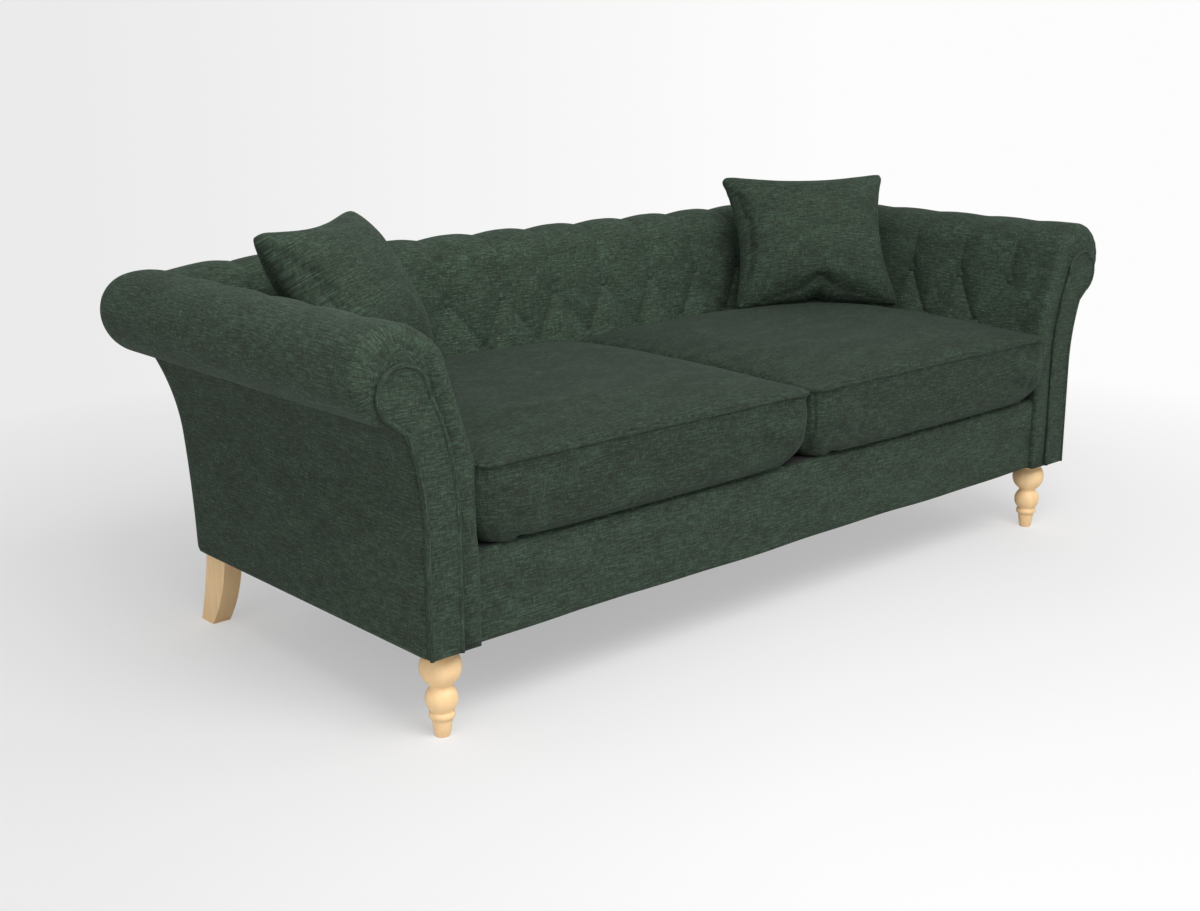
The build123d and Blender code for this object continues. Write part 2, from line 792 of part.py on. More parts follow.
# Dust cover stapled under the frame, cut round the legs
cover_front = front_rail_y
cover_back = back_leg_back - panel
with BuildPart() as dust_cover:
    with BuildSketch(Plane.XY.offset(leg_height)):
        with Locations((0, (cover_front + cover_back) / 2)):
            Rectangle(2 * (side_x - panel), cover_back - cover_front)
        for side in (-1, 1):
            with Locations((side * front_leg_at[0], front_leg_at[1])):
                RegularPolygon(collar_radius + dust_margin, 12, mode=Mode.SUBTRACT)
            with Locations((side * back_leg_at[0], back_leg_at[1])):
                Rectangle(
                    back_leg_width + 2 * dust_margin,
                    back_leg_top + 2 * dust_margin,
                    mode=Mode.SUBTRACT,
                )
    extrude(amount=-dust_thickness)
keep(dust_cover, "dust_cover")

# Seat cushions: a boxed cover with a crown, drawn-in sides and a slit for the zip, over an inner pad
cushion_bottom = deck_height + cushion_lift
seam_z = cushion_bottom + seam_height
cushion_levels = [
    (0, 16),
    (seam_height * 0.14, 0),
    (seam_height * 0.55, side_draw),
    (seam_height, 0),
    (seam_height + crown_rise * 0.55, 14),
    (seam_height + crown_rise * 0.85, 48),
    (seam_height + crown_rise, 120),
]


def rounded_outline(left, right, front, back):
    """Corner points of a rectangle with each corner cut in three."""
    step = cushion_corner * (1 - cos(radians(45)))
    corners = (
        (right, front, -1, 1),
        (right, back, -1, -1),
        (left, back, 1, -1),
        (left, front, 1, 1),
    )
    points = []
    for x, y, across, along in corners:
        arc = [
            (x + across * cushion_corner, y),
            (x + across * step, y + along * step),
            (x, y + along * cushion_corner),
        ]
        points += arc if across * along < 0 else arc[::-1]
    return points


seat_left = cushion_gap / 2
seat_right = arm_low_x - cushion_side_gap


def seat_level(height, draw):
    """Outline of the right seat cushion at a height, drawn in from its sides."""
    front = draw - overall_depth / 2
    back = roll_y - crest_offset(min(height, seam_z)) - cushion_back_gap - draw
    with BuildSketch(Plane.XY.offset(height)) as level:
        with BuildLine() as outline:
            Polyline(*rounded_outline(seat_left + draw, seat_right - draw, front, back), close=True)
        make_face(outline.edges())
    return level.sketch


def seat_form():
    """Outside of the right seat cushion."""
    loft([seat_level(cushion_bottom + rise, draw) for rise, draw in cushion_levels], ruled=True)


def seat_core(clearance, mode):
    """Foam block in the cushion, inside its fibre wrap and cover."""
    foot = seat_level(cushion_bottom + cushion_wrap + clearance, cushion_wrap + side_draw + clearance)
    extrude(foot, amount=seam_height - cushion_wrap - 2 * clearance, mode=mode)


def seat_zip(clearance, mode):
    """Strip through the back of the seat cover, where the zip is."""
    with BuildSketch(Plane.XY.offset(cushion_bottom + seam_height / 2)) as strip:
        with Locations(((seat_left + arm_low_x) / 2, roll_y - skirt_crest)):
            Rectangle(zip_length - 2 * clearance, overall_depth / 4)
    extrude(strip.sketch, amount=zip_width / 2 - clearance, both=True, mode=mode)


with BuildPart() as seat_cover:
    seat_form()
    seat_core(0, Mode.SUBTRACT)
    seat_zip(0, Mode.SUBTRACT)
keep_pair(seat_cover, "seat_cover")

with BuildPart() as seat_zip_strip:
    seat_form()
    seat_core(0, Mode.SUBTRACT)
    seat_zip(cushion_lift, Mode.INTERSECT)
keep_pair(seat_zip_strip, "seat_zip")

with BuildPart() as seat_pad:
    seat_core(cushion_lift, Mode.ADD)
keep_pair(seat_pad, "seat_pad")

# Scatter cushions: knife-edged covers with pointed corners, leaning in the corners of the seat
turn_sin = sin(radians(scatter_turn))
turn_cos = cos(radians(scatter_turn))
scatter_sin = sin(radians(scatter_lean))
scatter_cos = cos(radians(scatter_lean))
scatter_middle = (
    arm_low_x - scatter_side,
    roll_y - crest_offset(seam_z) - scatter_back,
    seam_z + crown_rise + scatter_rise,
)
scatter_face = Plane(
    scatter_middle,
    x_dir=(turn_cos, -turn_sin, 0),
    z_dir=(-turn_sin * scatter_cos, -turn_cos * scatter_cos, scatter_sin),
)


def scatter_outline(scale):
    """Outline of a scatter cushion lying flat: sides bowed in between pointed corners."""
    reach = scale * scatter_width / 2
    drop = scale * scatter_height / 2
    bow = scale * scatter_draw
    near = 0.4
    with BuildSketch() as level:
        with BuildLine() as outline:
            Polyline(
                (-reach, -drop),
                (-reach * near, bow - drop),
                (reach * near, bow - drop),
                (reach, -drop),
                (reach - bow, -drop * near),
                (reach - bow, drop * near),
                (reach, drop),
                (reach * near, drop - bow),
                (-reach * near, drop - bow),
                (-reach, drop),
                (bow - reach, drop * near),
                (bow - reach, -drop * near),
                close=True,
            )
        make_face(outline.edges())
    return level.sketch


def scatter_dome(plane, reach):
    """Lens-shaped section of a scatter cushion, swept straight across it to crown both faces."""
    crown = scatter_thickness / 2
    with BuildSketch(plane) as section:
        with BuildLine() as outline:
            Polyline(
                (-reach, 0),
                (-reach * 0.8, crown * 0.55),
                (-reach * 0.4, crown),
                (reach * 0.4, crown),
                (reach * 0.8, crown * 0.55),
                (reach, 0),
                (reach * 0.8, -crown * 0.55),
                (reach * 0.4, -crown),
                (-reach * 0.4, -crown),
                (-reach * 0.8, -crown * 0.55),
                close=True,
            )
        make_face(outline.edges())
    extrude(section.sketch, amount=scatter_width, both=True, mode=Mode.INTERSECT)


def scatter_form():
    """Outside of the right scatter cushion, domed on both faces."""
    with BuildPart() as flat:
        extrude(scatter_outline(1), amount=scatter_thickness / 2, both=True)
        scatter_dome(Plane.XZ, scatter_width / 2)
        scatter_dome(Plane.YZ, scatter_height / 2)
    add(scatter_face.location * flat.part)


def scatter_core(clearance, mode):
    """Feather pad in the cover."""
    with BuildPart() as flat:
        outline = scatter_outline(scatter_core_scale - 2 * clearance / scatter_height)
        extrude(outline, amount=scatter_core_thickness / 2 - clearance, both=True)
    add(scatter_face.location * flat.part, mode=mode)


def scatter_zip(clearance, mode):
    """Strip through the lower edge of the scatter cover, where the zip is."""
    with BuildSketch(scatter_face) as strip:
        with Locations((0, -scatter_height / 2)):
            Rectangle(scatter_zip_length - 2 * clearance, scatter_height / 3)
    extrude(strip.sketch, amount=zip_width / 2 - clearance, both=True, mode=mode)


with BuildPart() as scatter_cover:
    scatter_form()
    scatter_core(0, Mode.SUBTRACT)
    scatter_zip(0, Mode.SUBTRACT)
keep_pair(scatter_cover, "scatter_cover")

with BuildPart() as scatter_zip_strip:
    scatter_form()
    scatter_core(0, Mode.SUBTRACT)
    scatter_zip(cushion_lift, Mode.INTERSECT)
keep_pair(scatter_zip_strip, "scatter_zip")

with BuildPart() as scatter_pad:
    scatter_core(cushion_lift, Mode.ADD)
keep_pair(scatter_pad, "scatter_pad")
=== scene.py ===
from math import ceil, cos, pi, radians, sin, tau

import bmesh
import bpy
import numpy as np
from mathutils import Matrix, Vector
from mathutils.bvhtree import BVHTree


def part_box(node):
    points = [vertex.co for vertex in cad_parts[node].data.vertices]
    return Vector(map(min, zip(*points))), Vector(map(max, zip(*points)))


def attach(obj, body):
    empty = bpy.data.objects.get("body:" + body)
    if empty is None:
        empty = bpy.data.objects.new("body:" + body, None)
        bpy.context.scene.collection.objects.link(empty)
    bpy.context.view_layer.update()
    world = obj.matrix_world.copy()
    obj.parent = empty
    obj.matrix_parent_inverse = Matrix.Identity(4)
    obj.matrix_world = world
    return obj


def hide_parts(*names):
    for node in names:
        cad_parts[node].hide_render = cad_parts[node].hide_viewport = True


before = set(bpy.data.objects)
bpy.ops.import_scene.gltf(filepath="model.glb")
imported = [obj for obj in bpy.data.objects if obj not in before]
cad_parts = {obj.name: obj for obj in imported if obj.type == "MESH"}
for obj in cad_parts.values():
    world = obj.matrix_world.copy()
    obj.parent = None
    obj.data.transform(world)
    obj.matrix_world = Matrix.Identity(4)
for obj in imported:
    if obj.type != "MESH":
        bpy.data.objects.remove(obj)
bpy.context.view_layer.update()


# Frame timber: rails, boards, posts and blocks of pale kiln-dried hardwood, sawn and planed.
# They are glued and screwed together, and the upholstery hides them all.
class Sock:
    """A shader socket that takes part in sums; any other node comes from its tree's node method."""

    def __init__(self, tree, socket):
        self.tree = tree
        self.socket = socket

    def math(self, operation, first, second):
        return self.tree.node("ShaderNodeMath", {"operation": operation}, {0: first, 1: second})[0]

    def __add__(self, other):
        return self.math("ADD", self, other)

    __radd__ = __add__

    def __mul__(self, other):
        return self.math("MULTIPLY", self, other)

    __rmul__ = __mul__

    def __truediv__(self, other):
        return self.math("DIVIDE", self, other)

    def __rtruediv__(self, other):
        return self.math("DIVIDE", other, self)


class Finish:
    """A material under construction, or the world's own shader."""

    def __init__(self, name, world=None):
        self.material = world or bpy.data.materials.new(name)
        self.material.use_nodes = True
        self.tree = self.material.node_tree
        self.shader = self.tree.nodes["Background" if world else "Principled BSDF"]

    def node(self, kind, settings=None, sockets=None):
        """Add a node: its settings first, then the values or links of its inputs; returns its outputs."""
        made = self.tree.nodes.new(kind)
        for key, value in (settings or {}).items():
            if key == "stops":
                ramp = made.color_ramp
                while len(ramp.elements) < len(value):
                    ramp.elements.new(0.5)
                for element, (place, colour) in zip(ramp.elements, value):
                    element.position = place
                    element.color = (*colour, 1)
            else:
                setattr(made, key, value)
        for key, value in (sockets or {}).items():
            self.feed(made.inputs[key], value)
        return [Sock(self, out) for out in made.outputs if out.enabled]

    def feed(self, target, value):
        """Link a socket to an input, or set the input to a value."""
        if isinstance(value, Sock):
            self.tree.links.new(value.socket, target)
        else:
            target.default_value = value

    def set(self, **sockets):
        """Set inputs of the main shader by name, with spaces as underscores."""
        for key, value in sockets.items():
            self.feed(self.shader.inputs[key.replace("_", " ")], value)
        return self.material

    def coords(self, kind="Object"):
        """Coordinates of the piece: its own object space, or its cloth map."""
        outs = self.node("ShaderNodeTexCoord")
        return outs[{"Object": 3, "UV": 2}[kind]]

    def scaled(self, coords, scale):
        return self.node("ShaderNodeMapping", {}, {"Vector": coords, "Scale": scale})[0]

    def noise(self, coords, scale, detail=2.0, rough=0.5, twist=0.0):
        grain = {"Scale": scale, "Detail": detail, "Roughness": rough, "Distortion": twist}
        return self.node("ShaderNodeTexNoise", {}, {"Vector": coords, **grain})[0]

    def ramp(self, value, *stops):
        return self.node("ShaderNodeValToRGB", {"stops": stops}, {0: value})[0]

    def mixed(self, share, first, second):
        """Blend of two colours."""
        sockets = {0: share, 6: first, 7: second}
        return self.node("ShaderNodeMix", {"data_type": "RGBA"}, sockets)[0]

    def bumped(self, height, strength, distance):
        relief = {"Height": height, "Strength": strength, "Distance": distance}
        return self.node("ShaderNodeBump", {}, relief)[0]

    def vector(self, operation, *inputs):
        """Sum on vectors."""
        return self.node("ShaderNodeVectorMath", {"operation": operation}, dict(enumerate(inputs)))[0]


def wood(name, pale, dark, roughness, along):
    """Straight-grained wood; along is the grain's direction in the piece, 0 for X, 1 for Y, 2 for Z."""
    finish = Finish(name)
    stretch = [1.0, 1.0, 1.0]
    stretch[along] = 0.07
    coords = finish.scaled(finish.coords(), tuple(stretch))
    bands = finish.noise(coords, 55.0, 3.0, 0.55, 0.4)
    pores = finish.noise(coords, 420.0, 2.0, 0.6)
    grain = bands * 0.75 + pores * 0.25
    colour = finish.ramp(grain, (0.3, dark), (0.62, pale))
    return finish.set(
        Base_Color=colour,
        Roughness=roughness + 0.12 * pores,
        Normal=finish.bumped(pores, 0.25, 0.0004),
    )


frame_timber = {
    axis: wood(f"sawn hardwood {axis}", (0.62, 0.44, 0.26), (0.44, 0.28, 0.15), 0.62, "XYZ".index(axis))
    for axis in "XYZ"
}
timber_grain = {
    "X": ["front_rail", "back_rail", "back_top_rail", "back_tack_rail", "corner_blocks"],
    "Y": ["side_rail", "seat_cross_rails", "arm_top_rail", "arm_tack_rail"],
    "Z": ["arm_front_board", "arm_back_post", "back_uprights"],
}


def sided(names):
    """CAD nodes of these names, on both sides where there are two."""
    return [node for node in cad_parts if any(node in (n, f"{n}_left", f"{n}_right") for n in names)]


def dress(node, material):
    """Give a CAD node its finish."""
    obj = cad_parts[node]
    obj.data.materials.clear()
    obj.data.materials.append(material)


for axis, names in timber_grain.items():
    for node in sided(names):
        dress(node, frame_timber[axis])


# Legs: two turned front legs and two swept square back legs in pale beech with a clear matt lacquer.
# Each is screwed on by a zinc-plated hanger bolt that goes up into the rail.
leg_low, leg_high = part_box("front_legs")
leg_height = leg_high[2]
ball_radius = 0.037
front_leg_x = leg_high[0] - ball_radius
front_leg_y = leg_low[1] + ball_radius
beech = wood("lacquered beech", (0.95, 0.67, 0.36), (0.88, 0.58, 0.29), 0.42, 2)
beech_shader = beech.node_tree.nodes["Principled BSDF"]
beech_shader.inputs["Coat Weight"].default_value = 0.12
beech_shader.inputs["Coat Roughness"].default_value = 0.35


def read(items, key, width, kind=float):
    """Values of a mesh's points, corners or faces, one row for each."""
    values = np.empty(len(items) * width, dtype=kind)
    items.foreach_get(key, values)
    return values.reshape(-1, width)


def corner_points(mesh):
    """Which point each corner of a mesh's faces stands on."""
    return read(mesh.loops, "vertex_index", 1, np.int32)[:, 0]


def lay_cloth(mesh, maps):
    """Give a mesh its cloth map in metres, with one place for each corner of its faces."""
    layer = mesh.uv_layers.get("cloth") or mesh.uv_layers.new(name="cloth")
    layer.data.foreach_set("uv", np.asarray(maps, dtype=np.float32).ravel())


def show(name, data):
    """Put an object with this mesh, lamp or camera in the scene."""
    obj = bpy.data.objects.new(name, data)
    bpy.context.scene.collection.objects.link(obj)
    return obj


def solid(name, vertices, faces, material, maps=None):
    """Mesh object from points and faces, with a cloth map where one is given for each point."""
    mesh = bpy.data.meshes.new(name)
    mesh.from_pydata([tuple(v) for v in vertices], [], [tuple(f) for f in faces])
    if maps is not None:
        lay_cloth(mesh, np.asarray(maps)[corner_points(mesh)])
    mesh.materials.append(material)
    mesh.shade_smooth()
    return show(name, mesh)


def finish_piece(obj, *nodes, body="root", slot="upholstery"):
    """Fix a piece to its body, in place of the CAD nodes that it stands for."""
    if nodes:
        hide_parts(*nodes)
    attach(obj, body)


def clean(obj, gap=2e-5):
    """Merge doubled points and turn every face outwards."""
    work = bmesh.new()
    work.from_mesh(obj.data)
    bmesh.ops.remove_doubles(work, verts=work.verts, dist=gap)
    bmesh.ops.dissolve_degenerate(work, edges=work.edges, dist=1e-6)
    bmesh.ops.recalc_face_normals(work, faces=work.faces)
    work.to_mesh(obj.data)
    work.free()


def ring_faces(stations, points):
    """Quads of a tube of closed rings, and its two end caps."""
    faces = []
    for i in range(stations - 1):
        for j in range(points):
            k = (j + 1) % points
            faces.append((i * points + j, i * points + k, (i + 1) * points + k, (i + 1) * points + j))
    faces.append(tuple(range(points))[::-1])
    faces.append(tuple((stations - 1) * points + j for j in range(points)))
    return faces


def unit(value):
    """The value, kept between 0 and 1."""
    return np.clip(value, 0, 1)


def bulge(radius, middle, top, bottom, count=14):
    """Round part of a turned leg between two radii, from its upper end to its lower end."""
    start = np.arcsin(unit(top / radius))
    end = pi - np.arcsin(unit(bottom / radius))
    turns = np.linspace(start, end, count)
    return [(radius * sin(a), middle + radius * cos(a)) for a in turns]


# Radius and height down the turned leg: collar, ball, neck, vase, bead and tapered foot
leg_profile = [
    (0.0, leg_height),
    (0.029, leg_height),
    (0.031, leg_height - 0.002),
    (0.031, leg_height - 0.006),
    (0.029, leg_height - 0.009),
    *bulge(ball_radius, leg_height - 0.036, 0.026, 0.020),
    (0.0195, leg_height - 0.070),
    *bulge(0.029, leg_height - 0.094, 0.020, 0.021),
    (0.0198, leg_height - 0.117),
    (0.0222, leg_height - 0.1185),
    (0.0230, leg_height - 0.121),
    (0.0230, leg_height - 0.125),
    (0.0222, leg_height - 0.1275),
    (0.0182, leg_height - 0.129),
    (0.0178, leg_height - 0.136),
    (0.0135, 0.001),
    (0.0125, 0.0),
    (0.0, 0.0),
]
turns = np.linspace(0, tau, 56, endpoint=False)
leg_points = [
    (side * front_leg_x + r * cos(a), front_leg_y + r * sin(a), z)
    for side in (-1, 1)
    for r, z in leg_profile
    for a in turns
]
leg_quads = ring_faces(len(leg_profile), len(turns))
second = len(leg_profile) * len(turns)
leg_quads += [tuple(v + second for v in face) for face in leg_quads]
front_legs = solid("turned_front_legs", leg_points, leg_quads, beech)
clean(front_legs)
finish_piece(front_legs, "front_legs", slot="turned_wood")
for node in sided(["back_leg"]):
    dress(node, beech)

zinc = Finish("zinc-plated steel")
zinc.set(
    Base_Color=(0.55, 0.55, 0.53, 1),
    Metallic=1.0,
    Roughness=0.35 + 0.2 * zinc.noise(zinc.coords(), 300.0),
)
dress("leg_bolts", zinc.material)


# Webbing, platform and dust cover: elastic straps stapled across the rails, a felted panel over them,
# and thin black non-woven cloth stapled under the frame and cut round the legs.
def patterned(finish, pattern, stops, roughness, relief):
    """Matt stuff coloured and embossed by one pattern; the relief is the bump's strength and depth."""
    colour = finish.ramp(pattern, *stops)
    return finish.set(Base_Color=colour, Roughness=roughness, Normal=finish.bumped(pattern, *relief))


def ribbed(name, direction, scale, *look):
    """Woven tape or zip teeth, in even ribs."""
    finish = Finish(name)
    wave = {"Vector": finish.coords(), "Scale": scale}
    ribs = finish.node("ShaderNodeTexWave", {"bands_direction": direction}, wave)[1]
    return patterned(finish, ribs, *look)


def fibrous(name, grain, *look):
    """Felt, foam or cambric; the grain is the scale, detail and roughness of its mottling."""
    finish = Finish(name)
    return patterned(finish, finish.noise(finish.coords(), *grain), *look)


strap_tan = ((0.2, (0.16, 0.11, 0.06)), (0.8, (0.34, 0.26, 0.16)))
strap = ribbed("jute-coloured webbing", "DIAGONAL", 260.0, strap_tan, 0.85, (0.4, 0.0005))
for node in ("seat_webbing", "seat_cross_webbing", "back_webbing"):
    dress(node, strap)

lining_black = ((0.3, (0.012, 0.012, 0.013)), (0.75, (0.035, 0.035, 0.037)))
lining = fibrous("black non-woven lining", (900.0, 3.0, 0.7), lining_black, 0.9, (0.3, 0.0003))
dress("seat_platform", lining)
dress("dust_cover", lining)


# Outside arms and outside back: stiff board panels under the same dark green slub weave as the rest,
# blind-stitched to the roll above, to the facings in front and to each other at the back corners.
weave_dark = (0.0120, 0.0185, 0.0120)
weave_mid = (0.0250, 0.0385, 0.0250)
weave_light = (0.0620, 0.1080, 0.0760)
weave_brown = (0.0780, 0.0680, 0.0440)


def slub_weave(name, painted_light_scale):
    """Heathered chenille weave: streaks of thick and thin yarn along the weft, with pale and brown flecks.

    The second argument scales the whole colour: painted light and shade, making one cloth lighter or darker
    on a piece than on the outside of the sofa, for how the light falls there.
    """
    cloth = Finish(name)
    dark, mid, light, fleck_brown = (
        tuple(painted_light_scale * part for part in colour) for colour in (weave_dark, weave_mid, weave_light, weave_brown)
    )
    at = cloth.coords("UV")
    streaks = cloth.noise(cloth.scaled(at, (34.0, 300.0, 1.0)), 1.0, 3.0, 0.65)
    yarns = cloth.noise(cloth.scaled(at, (110.0, 620.0, 1.0)), 1.0, 2.0, 0.6)
    warps = cloth.noise(cloth.scaled(at, (460.0, 50.0, 1.0)), 1.0, 2.0, 0.6)
    clouds = cloth.noise(cloth.scaled(at, (9.0, 22.0, 1.0)), 1.0, 3.0, 0.6)
    body = 0.36 * streaks + 0.28 * yarns + 0.22 * warps + 0.14 * clouds
    heather = cloth.ramp(body, (0.39, dark), (0.5, mid), (0.63, light))
    fleck = cloth.ramp(yarns * 0.6 + streaks * 0.4, (0.56, (0, 0, 0)), (0.66, (1, 1, 1)))
    flecked = cloth.mixed(fleck * 0.65, heather, (*light, 1))
    slub = cloth.noise(cloth.scaled(at, (34.0, 520.0, 1.0)), 1.7, 1.0, 0.5)
    brown = cloth.ramp(slub, (0.60, (0, 0, 0)), (0.72, (1, 1, 1)))
    colour = cloth.mixed(brown * 0.45, flecked, (*fleck_brown, 1))
    height = 0.5 * yarns + 0.3 * warps + 0.5 * streaks
    cloth.set(
        Base_Color=colour,
        Roughness=0.88,
        Sheen_Weight=0.06,
        Sheen_Roughness=0.45,
        Sheen_Tint=(0.55, 0.75, 0.64, 1),
        Normal=cloth.bumped(height, 0.35, 0.0007),
    )
    cloth.shader.inputs["Specular IOR Level"].default_value = 0.25
    return cloth.material


weave = slub_weave("dark green slub weave", 1.0)

roll_low, roll_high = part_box("back_roll")
roll_radius = (roll_high[2] - roll_low[2]) / 2
roll_z = roll_high[2] - roll_radius
roll_y = roll_high[1] - roll_radius
roll_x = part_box("arm_roll_right")[1][0] - roll_radius
under_roll = roll_z - roll_radius
side_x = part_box("outside_arm_right")[0][0] + 0.006
front_y, facing_back = (corner[1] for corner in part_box("arm_facing_right"))
back_foot_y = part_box("outside_back")[0][1] + 0.006
panel_board = 0.005
panel_belly = 0.0025
side_bend = leg_height + 0.237


def bowed(z, start, end, top):
    """Line that is upright as far as the bend and then bows over from one place to another."""
    rise = top - side_bend
    reach = end - start
    bow = (rise * rise + reach * reach) / (2 * reach)
    above = np.clip(z - side_bend, 0, rise)
    return start + bow - np.sqrt(bow * bow - above * above)


def outside_line(z):
    """How far out the outside arm is at a height: upright, then flared to the under side of the roll."""
    return bowed(z, side_x, roll_x, under_roll)


def back_line(z):
    """How far back the outside back is at a height: raked, and bowed in between its foot and the roll."""
    share = unit((z - leg_height) / (under_roll - leg_height))
    return back_foot_y + (roll_y - back_foot_y) * share - 0.015 * 4 * share * (1 - share)


def belly(z):
    """How full an outside panel is at a height: flat at its foot and under the roll."""
    return panel_belly * np.sin(pi * (z - leg_height) / (under_roll - leg_height)) ** 2


def turned_in(gap, z):
    """How far the cover of an outside panel falls back beside its upright edges and at its hem."""
    return 0.0035 * np.exp(-gap / 0.006) + 0.003 * np.exp(-(z - leg_height) / 0.005)


def joined(*parts):
    """Points from the grids of their coordinates."""
    return np.stack(parts, axis=-1)


def skin(name, front, back, maps, material):
    """Closed panel from two grids of points, its face and its back."""
    rows, columns = front.shape[:2]
    points = np.concatenate([front.reshape(-1, 3), back.reshape(-1, 3)])
    faces = []
    size = rows * columns
    for i in range(rows - 1):
        for j in range(columns - 1):
            a, b = i * columns + j, i * columns + j + 1
            c, d = b + columns, a + columns
            faces.append((a, b, c, d))
            faces.append((size + d, size + c, size + b, size + a))
    rim = list(range(columns))
    rim += [i * columns + columns - 1 for i in range(1, rows)]
    rim += [(rows - 1) * columns + j for j in range(columns - 2, -1, -1)]
    rim += [i * columns for i in range(rows - 2, 0, -1)]
    for a, b in zip(rim, rim[1:] + rim[:1]):
        faces.append((b, a, size + a, size + b))
    both = np.concatenate([maps.reshape(-1, 2), maps.reshape(-1, 2)])
    panel = solid(name, points, faces, material, both)
    clean(panel)
    return panel


two_sides = ((-1, "left"), (1, "right"))
heights = np.linspace(leg_height, under_roll + 0.006, 60)
shares = np.linspace(0, 1, 90)
for side, word in two_sides:
    z, t = np.meshgrid(heights, shares, indexing="ij")
    y = facing_back + t * (back_line(z) - facing_back)
    edge = np.minimum(y - facing_back, back_line(z) - y)
    x = outside_line(z) - turned_in(edge, z) + np.sin(pi * t) * belly(z)
    face = joined(side * x, y, z)
    back = joined(side * (x - panel_board), y, z)
    maps = joined(y, z)
    outside_arm = skin(f"outside_arm_cover_{word}", face, back, maps, weave)
    finish_piece(outside_arm, f"outside_arm_{word}")

z, t = np.meshgrid(heights, np.linspace(-1, 1, 150), indexing="ij")
x = t * (outside_line(z) - panel_board)
edge = outside_line(z) - panel_board - np.abs(x)
y = back_line(z) - turned_in(edge, z) + np.cos(pi * t / 2) * belly(z)
back = joined(x, y - panel_board, z)
outside_back = skin("outside_back_cover", joined(x, y, z), back, joined(x, z), weave)
finish_piece(outside_back, "outside_back")


# Inside back, inside arms and their rolls: padding on the webbing and the round top rails, one cover a side.
# The cover is pulled in by rows of buttons, pleated in diamonds between them, and drawn over the roll
# in scallops; it is tacked under the roll and to the rails below.
lean = radians(17)
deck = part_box("inside_back")[0][2]
button_line = -(roll_z + roll_radius * sin(lean) - 0.600) / cos(lean)
row_spacing = 0.118
back_pitch = 0.153
back_columns = [(n - 5) * back_pitch for n in range(11)]
arm_pitch = 0.146
arm_columns = [front_y + 0.134 + n * arm_pitch for n in range(5)]
padding = 0.044
crest = roll_radius * radians(73)
pleat_depth = 0.011
pleat_width = 0.060
pleat_foot = 0.008
pleat_run = 0.20
scallop_start = 0.010
scallop_width = 0.066
crease_depth = 0.0028
crease_width = 0.004
dimple_depth = 0.006
dimple_width = 0.017
mound = 0.003
mound_end = 0.014
knee_line = button_line - row_spacing


def wall_section(v, knee):
    """Place and outward normal across a wall at lengths up its cover: outward of the roll's axis, and height.

    Zero is where the roll begins. Below it is the sloping inside, upright below the knee; above it the round.
    """
    slope = np.clip(v, knee, 0)
    drop = np.minimum(v - knee, 0)
    turn = pi - lean - np.maximum(v, 0) / roll_radius
    out = roll_radius * np.cos(turn) + slope * sin(lean)
    up = roll_z + roll_radius * np.sin(turn) + slope * cos(lean) + drop
    facing = turn + lean * unit(-drop / 0.03)
    return out, up, np.cos(facing), np.sin(facing)


def near(u, v, start, end):
    """Distance of points from a pleat, and how far along it they lie."""
    run = np.array(end) - np.array(start)
    length = run @ run
    along = unit(((u - start[0]) * run[0] + (v - start[1]) * run[1]) / length)
    return np.hypot(u - start[0] - along * run[0], v - start[1] - along * run[1]), along


def bell(gap, width):
    """Rounded rise to 1 where the gap is none."""
    return np.exp(-((gap / width) ** 2))


def button_feet(columns, pitch):
    """Places along a wall of its lower row of buttons, between those of the upper row."""
    return sorted({round(c + step * pitch / 2, 5) for c in columns for step in (-1, 1)})


def within(place, reach):
    """Whether a place along a wall lies in a reach of it."""
    return reach[0] - 1e-6 <= place <= reach[1] + 1e-6


def buttoning(u, v, columns, pitch, lower, past, scallop):
    """Height of the padding over the cover's even line: pleats between buttons and over the roll's crest."""
    pull = np.zeros_like(u)
    line = np.zeros_like(u)

    def pleat(start, end, first, last, width):
        nonlocal pull, line
        gap, along = near(u, v, start, end)
        deep = first + (last - first) * along
        reach = unit(1 - gap / width)
        pull = np.maximum(pull, deep * reach ** 1.8)
        line = np.maximum(line, deep / pleat_depth * bell(gap, crease_width))

    for c in columns:
        top = (c, button_line)
        pleat(top, (c, crest), scallop_start, scallop, scallop_width)
        pleat((c, crest), (c, crest + past), scallop, 0.0, scallop_width)
        for foot in (c - pitch / 2, c + pitch / 2):
            if within(foot, lower):
                pleat(top, (foot, knee_line), pleat_depth, pleat_depth, pleat_width)
    feet = button_feet(columns, pitch)
    for c in feet:
        if within(c, lower):
            pleat((c, knee_line), (c, knee_line - pleat_run), pleat_depth, pleat_foot, pleat_width)
    dimple = np.zeros_like(u)
    for c, row in [(c, button_line) for c in columns] + [(c, knee_line) for c in feet]:
        dimple = np.maximum(dimple, bell(np.hypot(u - c, v - row), dimple_width))
    full = mound * (1 - unit(pull / mound_end))
    return full - pull - crease_depth * line - dimple_depth * dimple


# Lit copies of the one weave: the inside back and inside arms are painted lighter, as painted light standing
# in for light from the front.
back_weave_painted_lighter = slub_weave("slub weave of the inside back", 1.26)
arm_weave_painted_lighter = slub_weave("slub weave of the inside arms", 1.08)
roll_end = roll_radius * radians(263)
step = 0.0042
back_past = 0.070
back_scallop = 0.008
arm_past = 0.020
arm_scallop = 0.0035
slope_foot = (deck - roll_z - roll_radius * sin(lean)) / cos(lean)
knee_height = 0.482
arm_knee = (knee_height - roll_z - roll_radius * sin(lean)) / cos(lean)
no_knee = slope_foot - 1
fan = np.linspace(0, radians(45), 7)[1:]


